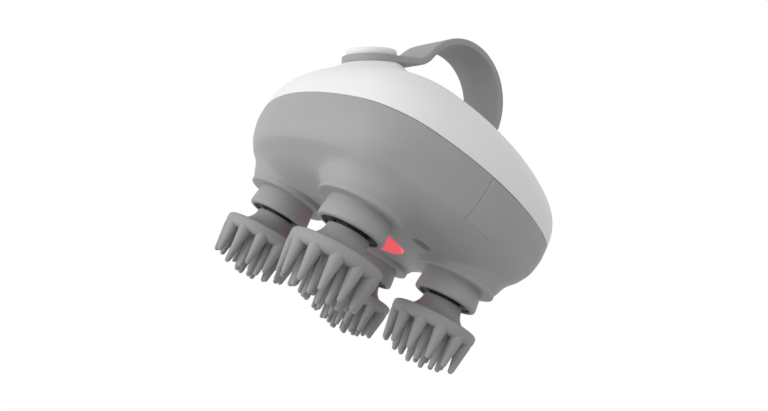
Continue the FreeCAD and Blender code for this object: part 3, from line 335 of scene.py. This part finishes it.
bowl_verts, bowl_faces = strip(rows, wrap=True, flip=True)


def in_port(face):
    """Whether a face of the bowl's outside or inside lies where the port is open."""
    row, first = min(face) // AROUND, min(i % AROUND for i in face)
    inside = row >= inner_start and bowl_verts[min(face)][2] > PORT_FOOT
    return first in PORT_COLUMNS and (row < port_rows or inside)


bowl = (bowl_verts, [face for face in bowl_faces if not in_port(face)])


# Recess for the port's flap, with a window in its seat
SEAT_DEPTH, SEAT_ROWS, SEAT_COLUMNS = 1.5, 8, 4
WINDOW_HALF, WINDOW_FOOT, WINDOW_TOP, WINDOW_DEPTH = 4.65, 40.1, 43.7, 2.6


def port_rows_at(x, inset, heights):
    """Rows of points on the side wall at the port, drawn in by inset."""
    grid = []
    for z in heights:
        wall = housing_outline(z, inset)[PORT_SIDE:PORT_SIDE + len(SIDE_STEPS)]
        grid.append(np.column_stack([x, np.interp(x, wall[:, 0], wall[:, 1]), np.full(len(x), z)]))
    return grid


seat_heights = np.concatenate([np.linspace(PORT_FOOT, WINDOW_FOOT, SEAT_ROWS),
                               np.linspace(WINDOW_TOP, RIM, SEAT_ROWS)])
seat_columns = np.concatenate([np.linspace(-PORT_HALF, -WINDOW_HALF, SEAT_COLUMNS),
                               np.linspace(WINDOW_HALF, PORT_HALF, SEAT_COLUMNS)])
mouth = port_rows_at(seat_columns, 0.0, seat_heights)
seat = port_rows_at(seat_columns, SEAT_DEPTH, seat_heights)
seat_verts, seat_faces = strip(seat, closed=False)
window_face = (SEAT_ROWS - 1) * (len(seat_columns) - 1) + SEAT_COLUMNS - 1
sill, lintel = (seat[i][SEAT_COLUMNS - 1:SEAT_COLUMNS + 1] for i in (SEAT_ROWS - 1, SEAT_ROWS))
window = np.concatenate([sill, lintel[::-1]])
recess = [(seat_verts, seat_faces[:window_face] + seat_faces[window_face + 1:]),
          strip([column(mouth, 0), column(seat, 0)], closed=False, flip=True),
          strip([column(mouth, -1), column(seat, -1)], closed=False),
          strip([mouth[0], seat[0]], closed=False),
          strip([window, window + np.array((0, WINDOW_DEPTH, 0))])]

# Bosses with a bead at the mouth
BEAD_RADIUS, BEAD_HEIGHT, BEAD_ROUND = 12.93, 3.0, 0.5
BOSS_BORE, BOSS_FACE_WALL = 8.7, 1.6
boss = lathe([(BOSS_BORE, BOSS_FACE + BOSS_FACE_WALL), (BOSS_BORE, BOSS_FACE),
              (BEAD_RADIUS - BEAD_ROUND, BOSS_FACE)]
             + arc((BEAD_RADIUS - BEAD_ROUND, BOSS_FACE + BEAD_ROUND), BEAD_ROUND, -80, 0, 8)
             + [(BEAD_RADIUS, BOSS_FACE + BEAD_HEIGHT)], FINE_SEGMENTS)
bosses = [shifted(boss, HEAD_OFFSET * sx, HEAD_OFFSET * sy) for sx, sy in CORNERS]
make("lower_housing_shell", merge(bowl, *recess, *bosses), "body", "grey_housing", ["lower_housing"],
     sharp=35)

# Flap over the charging port: a curved pad with a gap and a soft edge at its left side and its top
FLAP_START, FLAP_END, FLAP_FOOT, FLAP_BACK_FOOT = -6.51, 6.63, 35.64, 36.95
FLAP_THICKNESS, FLAP_EDGE, FLAP_MARGIN, FLAP_TOP_GAP = 1.2, 0.05, 1.0, 0.1
FLAP_TOP = RIM - FLAP_TOP_GAP
FLAP_ROWS, FLAP_COLUMNS, ROLL_SEGMENTS = 12, 13, 24
HINGE_Y, HINGE_Z, HINGE_RADIUS, HINGE_HALF = -43.16, 36.25, 0.5, 4.0


def flap_heights(foot):
    return np.concatenate([foot + FLAP_EDGE * EDGE_STEPS,
                           np.linspace(foot + FLAP_MARGIN, FLAP_TOP - FLAP_MARGIN, FLAP_ROWS),
                           FLAP_TOP - FLAP_EDGE * EDGE_STEPS[::-1]])


flap_columns = np.concatenate([FLAP_START + FLAP_EDGE * EDGE_STEPS[:2],
                               np.linspace(FLAP_START + FLAP_EDGE, FLAP_END, FLAP_COLUMNS)])
front = port_rows_at(flap_columns, 0.0, flap_heights(FLAP_FOOT))
back = port_rows_at(flap_columns, FLAP_THICKNESS, flap_heights(FLAP_BACK_FOOT))
for i, row in enumerate(front):
    for j, point in enumerate(row):
        from_edge = min(j, len(front) - 1 - i, len(EDGE_STEPS) - 1)
        point[1] += FLAP_EDGE * EDGE_STEPS[::-1][from_edge]
flap = merge(strip(front, closed=False),
             strip(back, closed=False, flip=True),
             strip([front[0], back[0]], closed=False, flip=True),
             strip([front[-1], back[-1]], closed=False),
             strip([column(front, 0), column(back, 0)], closed=False),
             strip([column(front, -1), column(back, -1)], closed=False, flip=True))
roll = lathe([(0, -HINGE_HALF), (HINGE_RADIUS, -HINGE_HALF), (HINGE_RADIUS, HINGE_HALF), (0, HINGE_HALF)],
             ROLL_SEGMENTS)
hinge = Matrix.Translation((0, HINGE_Y, HINGE_Z)) @ Matrix.Rotation(math.pi / 2, 4, "Y")
make("port_flap", merge(flap, moved(roll, hinge)), "port_cover", "port_silicone", ["charging_port_cover"],
     sharp=50)

# Gasket in the seam
gasket_section = ((SEAM_LAND, RIM), (SEAM_INSET, RIM), (SEAM_INSET, COVER_FOOT), (SEAM_LAND, COVER_FOOT))
gasket = [level(plan(CORNER_REACH - inset, CORNER_RADIUS - inset, SIDE_REACH - inset), z)
          for inset, z in gasket_section]
make("seam_gasket", strip(gasket, wrap=True), "body", "black_rubber", ["parting_gasket"])

# Upper cover: domed shell, whose rows lie closer near the rim; angles in radians from rim to crown
CROWN_GAP, NEAR_RIM, PAST_RIM = 0.004, 0.1, 0.12
NEAR_RIM_ROWS, DOME_ROWS, INNER_DOME_ROWS = 12, 70, 50
CROWN = math.pi / 2 - CROWN_GAP
outer_angles = np.concatenate([np.linspace(CROWN_GAP, NEAR_RIM, NEAR_RIM_ROWS),
                               np.linspace(PAST_RIM, CROWN, DOME_ROWS)])
outer_rows = [dome_row(angle) for angle in outer_angles]
dome_rows = [dome_row(angle, WALL) for angle in np.linspace(CROWN, 0.0, INNER_DOME_ROWS)]
dome_rows += [dome_row(0.0, EDGE), dome_row(0.0, EDGE * EDGE_SHARE, EDGE * EDGE_SHARE)]
dome_rows += [row for row in outer_rows if row[0, 2] > COVER_FOOT + EDGE]
dome_verts, dome_faces = strip(dome_rows)
last_row = len(dome_verts) - AROUND
dome_faces += [tuple(range(AROUND))[::-1], tuple(range(last_row, last_row + AROUND))]

# Pedestal under the button: a swell that runs out into the dome, and a hub round the button's stem
BUTTON_TILT, BUTTON_X, BUTTON_RISE = math.radians(34.7), -29.7, 23.6
PEDESTAL_RADIUS, PEDESTAL_FOOT, FOOT_SHIFT, FOOT_OVAL = 8.95, 17.0, 2.0, 1.0
PEDESTAL_DEPTH, DEPTH_SHIFT, DEPTH_OVAL, SWELL_ROWS = 5.6, 2.2, 0.4, 14
HUB_RADIUS, HUB_TOP, HUB_CHAMFER, STEM_BORE = 5.85, 1.1, 0.1, 3.05
button_seat = Vector((BUTTON_X, 0, PARTING + BUTTON_RISE))
upright = Matrix.Translation(button_seat) @ Matrix.Rotation(-BUTTON_TILT, 4, "Y")
turn = np.linspace(0, 2 * math.pi, FINE_SEGMENTS, endpoint=False)
foot_radius = PEDESTAL_FOOT - FOOT_SHIFT * np.cos(turn) - FOOT_OVAL * np.cos(2 * turn)
foot_depth = PEDESTAL_DEPTH + DEPTH_SHIFT * np.cos(turn) + DEPTH_OVAL * np.cos(2 * turn)
swell = []
for t in np.linspace(1, 0, SWELL_ROWS):
    reach = PEDESTAL_RADIUS + (foot_radius - PEDESTAL_RADIUS) * t
    swell.append(np.column_stack([reach * np.cos(turn), reach * np.sin(turn), -foot_depth * t]))
hub = lathe([(PEDESTAL_RADIUS, 0.0), (HUB_RADIUS, 0.0), (HUB_RADIUS, HUB_TOP - HUB_CHAMFER),
             (HUB_RADIUS - HUB_CHAMFER, HUB_TOP), (STEM_BORE, HUB_TOP), (STEM_BORE, -PEDESTAL_DEPTH)],
            FINE_SEGMENTS)
pedestal = moved(merge(strip(swell), hub), upright)
make("upper_cover_shell", merge((dome_verts, dome_faces), pedestal), "body", "white_cover", ["upper_cover"])

# Power button
CAP_RADIUS, CAP_FOOT, CAP_TOP, CAP_ROUND, CAP_CHAMFER = 7.75, 1.9, 4.3, 0.7, 0.2
CAP_BAND, CAP_BAND_RISE = 1.6, 0.01
STEM_RADIUS, STEM_FOOT, STEM_CHAMFER, STEM_SEGMENTS = 3.0, -6.6, 0.2, 48
cap = lathe([(STEM_RADIUS, CAP_FOOT), (CAP_RADIUS - CAP_CHAMFER, CAP_FOOT),
             (CAP_RADIUS, CAP_FOOT + CAP_CHAMFER)]
            + arc((CAP_RADIUS - CAP_ROUND, CAP_TOP - CAP_ROUND), CAP_ROUND, 0, 85, 9)
            + [(CAP_RADIUS - CAP_BAND, CAP_TOP + CAP_BAND_RISE), (CAP_RADIUS / 2, CAP_TOP), (0, CAP_TOP)],
            FINE_SEGMENTS)
stem = lathe([(0, STEM_FOOT), (STEM_RADIUS - STEM_CHAMFER, STEM_FOOT),
              (STEM_RADIUS, STEM_FOOT + STEM_CHAMFER), (STEM_RADIUS, CAP_FOOT)], STEM_SEGMENTS)
make("button_cap", moved(merge(cap, stem), upright), "button", "white_cover", ["power_button"], sharp=50)

# Hand strap: cut flat with its ring end, given thickness and soft edges, then bent along its path
STRAP_HALF, STRAP_THICKNESS = 8.7, 2.2
STRAP_EDGE, STRAP_EDGE_STEPS, STRAP_EDGE_ANGLE = 0.42, 4, math.radians(60)
STRAP_SHARES = np.array((-1, -0.86, -0.5, 0, 0.5, 0.86, 1))
RING_RADIUS, WELL_RADIUS, LIP_RADIUS, LIP_HEIGHT, LIP_OVERLAP = 9.05, 8.05, 6.0, 0.6, 0.2
ARCH_RADIUS, ARCH_X, ARCH_RISE, BEND_RADIUS = 18.6, 0.6, 32.8, 8.0
STRAP_FOOT_RISE = 20.9
RING_COUNT, BEND_ROWS, ARCH_ROWS, TAIL_ROWS = 97, 16, 52, 8
arch_centre = Vector((ARCH_X, 0, PARTING + ARCH_RISE))
along = Vector((math.cos(BUTTON_TILT), 0, math.sin(BUTTON_TILT)))
outward = Vector((-math.sin(BUTTON_TILT), 0, math.cos(BUTTON_TILT)))
origin = button_seat + outward * (STRAP_THICKNESS / 2)
lead = origin + outward * BEND_RADIUS - arch_centre
pull = lead.dot(along)
run = -pull - math.sqrt(pull ** 2 - lead.length_squared + (ARCH_RADIUS + BEND_RADIUS) ** 2)
bend_centre = origin + along * run + outward * BEND_RADIUS
toward = (bend_centre - arch_centre).normalized()
bend_turn = math.acos(outward.dot(toward))
arch_turn = math.atan2(toward.z, toward.x)
bend_end = run + BEND_RADIUS * bend_turn
arch_end = bend_end + ARCH_RADIUS * arch_turn
strap_end = arch_end + arch_centre.z - (PARTING + STRAP_FOOT_RISE)


def strap_place(s):
    """Middle line and outward direction of the strap at a length from the ring's centre."""
    if s <= run:
        return origin + along * s, outward
    if s <= bend_end:
        lean = Matrix.Rotation(-(s - run) / BEND_RADIUS, 3, "Y") @ outward
        return bend_centre - lean * BEND_RADIUS, lean
    if s <= arch_end:
        lean = Matrix.Rotation((s - bend_end) / ARCH_RADIUS, 3, "Y") @ toward
        return arch_centre + lean * ARCH_RADIUS, lean
    return arch_centre + Vector((ARCH_RADIUS, 0, arch_end - s)), Vector((1, 0, 0))


def ring_reach(angle):
    """The flat strap's outline about the ring's centre, up to where its straight part ends."""
    if math.cos(angle) <= 0:
        return RING_RADIUS
    straight = run / math.cos(angle)
    if math.sin(angle) != 0:
        straight = min(straight, STRAP_HALF / abs(math.sin(angle)))
    return max(RING_RADIUS, straight)


across = STRAP_HALF * STRAP_SHARES
corner_turn = math.atan2(STRAP_HALF, run)
rays = np.concatenate([np.arctan2(across, run),
                       np.linspace(corner_turn, 2 * math.pi - corner_turn, RING_COUNT)[1:-1]])
hole = [(WELL_RADIUS * math.cos(a), WELL_RADIUS * math.sin(a), 0) for a in rays]
outer = [(ring_reach(a) * math.cos(a), ring_reach(a) * math.sin(a), 0) for a in rays]
stations = np.concatenate([np.linspace(run, bend_end, BEND_ROWS)[1:],
                           np.linspace(bend_end, arch_end, ARCH_ROWS)[1:],
                           np.linspace(arch_end, strap_end, TAIL_ROWS)[1:]])
flat_verts, flat_faces = strip([hole, outer], flip=True)
columns = len(across)
previous = list(range(len(rays), len(rays) + columns))
for s in stations:
    base = len(flat_verts)
    flat_verts = np.concatenate([flat_verts, [(s, y, 0) for y in across]])
    current = list(range(base, base + columns))
    flat_faces += [(previous[j], current[j], current[j + 1], previous[j + 1])
                   for j in range(columns - 1)]
    previous = current
flat_mesh = bpy.data.meshes.new("strap_flat")
flat_mesh.from_pydata(flat_verts.tolist(), [], flat_faces)
flat = bpy.data.objects.new("strap_flat", flat_mesh)
bpy.context.scene.collection.objects.link(flat)
thick = flat.modifiers.new("thickness", "SOLIDIFY")
thick.thickness, thick.offset = STRAP_THICKNESS, 0.0
soften = flat.modifiers.new("edges", "BEVEL")
soften.width, soften.segments = STRAP_EDGE, STRAP_EDGE_STEPS
soften.limit_method, soften.angle_limit = "ANGLE", STRAP_EDGE_ANGLE
solid = bpy.data.meshes.new_from_object(flat.evaluated_get(bpy.context.evaluated_depsgraph_get()))
strap_points = []
for vert in solid.vertices:
    middle, lean = strap_place(vert.co.x)
    strap_points.append(middle + lean * vert.co.z + Vector((0, vert.co.y, 0)))
strap = (np.array(strap_points), [tuple(p.vertices) for p in solid.polygons])
bpy.data.objects.remove(flat)
lip_reach = WELL_RADIUS + LIP_OVERLAP
lip = lathe([(LIP_RADIUS, LIP_HEIGHT), (LIP_RADIUS, 0.0), (lip_reach, 0.0), (lip_reach, LIP_HEIGHT),
             (LIP_RADIUS, LIP_HEIGHT)])
make("hand_strap_band", merge(strap, moved(lip, upright)), "body", "strap_silicone", ["hand_strap"],
     sharp=50)

# Collars at the bosses: a wall that widens to a rounded rim
COLLAR_RADIUS, COLLAR_TOP_RADIUS, COLLAR_WALL, COLLAR_RIM, COLLAR_ROUND = 9.85, 9.3, 1.6, 1.6, 0.9
COLLAR_SWELL, COLLAR_SINK, BORE_DROP, MOUTH_ROUND = 0.28, 0.05, 1.0, 0.35
MOUTH = COLLAR_RADIUS - COLLAR_WALL
collar_rim = COLLAR_FOOT + COLLAR_RIM
collar = lathe([(MOUTH, BOSS_FACE - BORE_DROP), (MOUTH, COLLAR_FOOT + COLLAR_ROUND)]
               + arc((MOUTH + MOUTH_ROUND, COLLAR_FOOT + MOUTH_ROUND), MOUTH_ROUND, 180, 265, 5)
               + arc((COLLAR_RADIUS - COLLAR_ROUND, COLLAR_FOOT + COLLAR_ROUND), COLLAR_ROUND, -85, 0, 8)
               + [(COLLAR_RADIUS, collar_rim),
                  (COLLAR_TOP_RADIUS + COLLAR_SWELL, (collar_rim + BOSS_FACE) / 2),
                  (COLLAR_TOP_RADIUS, BOSS_FACE + COLLAR_SINK)], FINE_SEGMENTS)

# Seals in the collars, with a lip towards the head's hub
HEAD_HUB, SEAL_GAP, SEAL_LIP, SEAL_INSET, SEAL_HEIGHT = 4.4, 0.3, 0.32, 0.6, 1.3
seal_foot, seal_top = COLLAR_FOOT + SEAL_INSET, COLLAR_FOOT + SEAL_INSET + SEAL_HEIGHT
seal_bore = HEAD_HUB + SEAL_GAP
seal = lathe([(seal_bore + SEAL_LIP, seal_top), (seal_bore, seal_foot + SEAL_HEIGHT / 2),
              (seal_bore + SEAL_LIP, seal_foot), (MOUTH, seal_foot), (MOUTH, seal_top)])

# Massage heads: a flared neck on a round plate, and rings of tapered tines
NECK_RADIUS, FLARE_RADIUS, NECK_RISE, NECK_EDGE = 6.2, 5.4, 0.2, 0.2
PLATE_RADIUS, PLATE_ROUND, PLATE_FOOT_ROUND = 13.3, 0.7, 2.0
NECK_TOP = PLATE_TOP + FLARE_RADIUS + NECK_RISE
plate_foot_radius = PLATE_RADIUS - PLATE_FOOT_ROUND
head_body = lathe([(0, PLATE_FOOT), (plate_foot_radius, PLATE_FOOT)]
                  + arc((plate_foot_radius, PLATE_FOOT + PLATE_FOOT_ROUND), PLATE_FOOT_ROUND, -80, 0, 8)
                  + arc((PLATE_RADIUS - PLATE_ROUND, PLATE_TOP - PLATE_ROUND), PLATE_ROUND, 0, 88, 8)
                  + arc((NECK_RADIUS + FLARE_RADIUS, PLATE_TOP + FLARE_RADIUS), FLARE_RADIUS, 268, 180, 18)
                  + [(NECK_RADIUS - NECK_EDGE / 4, NECK_TOP - NECK_EDGE / 2),
                     (NECK_RADIUS - NECK_EDGE, NECK_TOP), (0, NECK_TOP)], FINE_SEGMENTS)

# Rings of tines: count, radius at the root, radius of the ring, length and lean in degrees
TINE_RINGS = ((12, 1.95, 11.25, 8.6, 1.5), (8, 1.75, 7.1, 10.1, 1.0), (4, 1.75, 2.9, 11.1, 0.0))
TINE_TIP, TINE_ROWS, TINE_SEGMENTS = 0.8, 8, 28


def tine(base, length, radius, angle, lean):
    """A tapered tine with a round tip, set in the plate at a radius and angle."""
    end = PLATE_FOOT - length
    taper = [(TINE_TIP + (base - TINE_TIP) * t, end + TINE_TIP + (length - TINE_TIP) * t)
             for t in np.linspace(0, 1, TINE_ROWS)]
    root = [(base, PLATE_FOOT + PLATE_FOOT_ROUND)]
    form = lathe([(0, end)] + arc((0, end + TINE_TIP), TINE_TIP, -80, -6, 7) + taper + root, TINE_SEGMENTS)
    stand = Matrix.Rotation(math.radians(lean), 4, "Y") @ Matrix.Translation((0, 0, -PLATE_FOOT))
    place = Matrix.Rotation(angle, 4, "Z") @ Matrix.Translation((radius, 0, PLATE_FOOT))
    return moved(form, place @ stand)


tines = [tine(base, length, radius, 2 * math.pi * k / count, lean)
         for count, base, radius, length, lean in TINE_RINGS for k in range(count)]
head = merge(head_body, *tines)
for index, (sx, sy) in enumerate(CORNERS, start=1):
    x, y = HEAD_OFFSET * sx, HEAD_OFFSET * sy
    make(f"collar_{index}", shifted(collar, x, y), "body", "grey_housing", [f"socket_collar_{index}"],
         sharp=50)
    make(f"seal_{index}", shifted(seal, x, y), "body", "black_rubber", [f"lip_seal_{index}"], sharp=50)
    make(f"head_{index}_silicone", shifted(head, x, y), f"head_{index}", "head_silicone",
         [f"massage_head_{index}"], sharp=60)

# Lens of the lamp
LENS_ROUND = 0.4
lens = lathe([(0, LENS_FOOT), (LENS_RADIUS - LENS_ROUND, LENS_FOOT)]
             + arc((LENS_RADIUS - LENS_ROUND, LENS_FOOT + LENS_ROUND), LENS_ROUND, -80, 0, 7)
             + [(LENS_RADIUS, LENS_TOP), (0, LENS_TOP)], FINE_SEGMENTS)
make("lamp_lens", lens, "body", "red_lens", ["light_lens"], sharp=50)

# Camera at the photograph's viewpoint, fitted about the body's axis in units of the body's radius
BODY_RADIUS = 48.0
TURN, PITCH, ROLL = math.radians(34.3), 0.26707, 0.49684
DISTANCE, ASIDE, ABOVE = 4.0219, 0.099, 0.1535
SENSOR_WIDTH, FOCAL_LENGTH, CLIP_START = 36.0, 28.125, 10.0
look = Vector((0, math.cos(PITCH), math.sin(PITCH)))
right = Vector((1, 0, 0))
up = right.cross(look)
right, up = right * math.cos(ROLL) + up * math.sin(ROLL), up * math.cos(ROLL) - right * math.sin(ROLL)
spot = -DISTANCE * look - ASIDE * right - ABOVE * up
spin = Matrix.Rotation(-TURN, 3, "Z")
look, right, up, spot = (spin @ v for v in (look, right, up, spot))
camera = bpy.data.objects.new("camera", bpy.data.cameras.new("camera"))
camera.data.sensor_width = SENSOR_WIDTH
camera.data.lens = FOCAL_LENGTH
camera.data.clip_start = CLIP_START * MM
camera.matrix_world = (Matrix.Translation((spot * BODY_RADIUS + Vector((0, 0, PARTING))) * MM)
                       @ Matrix((right, up, -look)).transposed().to_4x4())
bpy.context.scene.collection.objects.link(camera)
bpy.context.scene.camera = camera

# Soft studio lamps, which leave the floor out; distances and sizes in metres, powers in watts
LAMP_DISTANCE, LAMP_SIZE = 0.8, 0.6
KEY_POWER, SIDE_POWER, FILL_POWER = 1.96, 1.96, 1.0
centre = Vector((0, 0, PARTING * MM))
lit = bpy.data.collections.new("lit_by_lamps")


def soft_light(name, direction, power):
    lamp = bpy.data.lights.new(name, "AREA")
    lamp.shape, lamp.size, lamp.energy = "DISK", LAMP_SIZE, power
    obj = bpy.data.objects.new(name, lamp)
    obj.location = centre + direction.normalized() * LAMP_DISTANCE
    obj.rotation_euler = (centre - obj.location).to_track_quat("-Z", "Y").to_euler()
    obj.light_linking.receiver_collection = lit
    bpy.context.scene.collection.objects.link(obj)


soft_light("key", up * 0.5 - right - look, KEY_POWER)
soft_light("side", up * 0.2 - right * 1.2 - look * 0.3, SIDE_POWER)
soft_light("fill", up * 0.8 + right * 0.8 - look, FILL_POWER)

# White surroundings where they are seen, reflected or seen through, and dimmer as light on the object
BACKGROUND, AMBIENT = 1.0, 0.47
world = bpy.data.worlds.new("surroundings")
bpy.context.scene.world = world
world.use_nodes = True
nodes, links = world.node_tree.nodes, world.node_tree.links
nodes.clear()
paths = nodes.new("ShaderNodeLightPath")
seen = nodes.new("ShaderNodeMath")
seen.operation = "MAXIMUM"
links.new(paths.outputs["Is Camera Ray"], seen.inputs[0])
links.new(paths.outputs["Is Glossy Ray"], seen.inputs[1])
seen_through = nodes.new("ShaderNodeMath")
seen_through.operation = "MAXIMUM"
links.new(seen.outputs[0], seen_through.inputs[0])
links.new(paths.outputs["Is Transmission Ray"], seen_through.inputs[1])
strength = nodes.new("ShaderNodeMapRange")
strength.inputs["To Min"].default_value = AMBIENT
strength.inputs["To Max"].default_value = BACKGROUND
links.new(seen_through.outputs[0], strength.inputs["Value"])
ground = nodes.new("ShaderNodeBackground")
ground.inputs["Color"].default_value = (1, 1, 1, 1)
links.new(strength.outputs["Result"], ground.inputs["Strength"])
output = nodes.new("ShaderNodeOutputWorld")
links.new(ground.outputs["Background"], output.inputs["Surface"])

# Pale floor just below the tine tips, which shows only from above; its half width is in metres
FLOOR_HALF, FLOOR_DROP, FLOOR_GLOW = 3.0, 0.1, 0.35
floor_mesh = bpy.data.meshes.new("floor")
floor_mesh.from_pydata([(FLOOR_HALF * sx, FLOOR_HALF * sy, 0) for sx, sy in CORNERS], [], [(0, 1, 2, 3)])
floor = bpy.data.objects.new("floor", floor_mesh)
floor.location.z = -FLOOR_DROP * MM
bpy.context.scene.collection.objects.link(floor)
lit.objects.link(floor)
lit.collection_objects[0].light_linking.link_state = "EXCLUDE"
floor.visible_diffuse = floor.visible_glossy = floor.visible_transmission = floor.visible_shadow = False
pale = moulded("pale_floor", (0.86, 0.86, 0.86), 0.8, mottle=0.01, specular=0.1)
nodes, links = pale.node_tree.nodes, pale.node_tree.links
nodes["Principled BSDF"].inputs["Emission Color"].default_value = (1, 1, 1, 1)
nodes["Principled BSDF"].inputs["Emission Strength"].default_value = FLOOR_GLOW
facing = nodes.new("ShaderNodeNewGeometry")
clear = nodes.new("ShaderNodeBsdfTransparent")
one_sided = nodes.new("ShaderNodeMixShader")
links.new(facing.outputs["Backfacing"], one_sided.inputs["Fac"])
links.new(nodes["Principled BSDF"].outputs["BSDF"], one_sided.inputs[1])
links.new(clear.outputs["BSDF"], one_sided.inputs[2])
links.new(one_sided.outputs["Shader"], nodes["Material Output"].inputs["Surface"])
floor_mesh.materials.append(pale)

bpy.context.scene.view_settings.view_transform = "Standard"
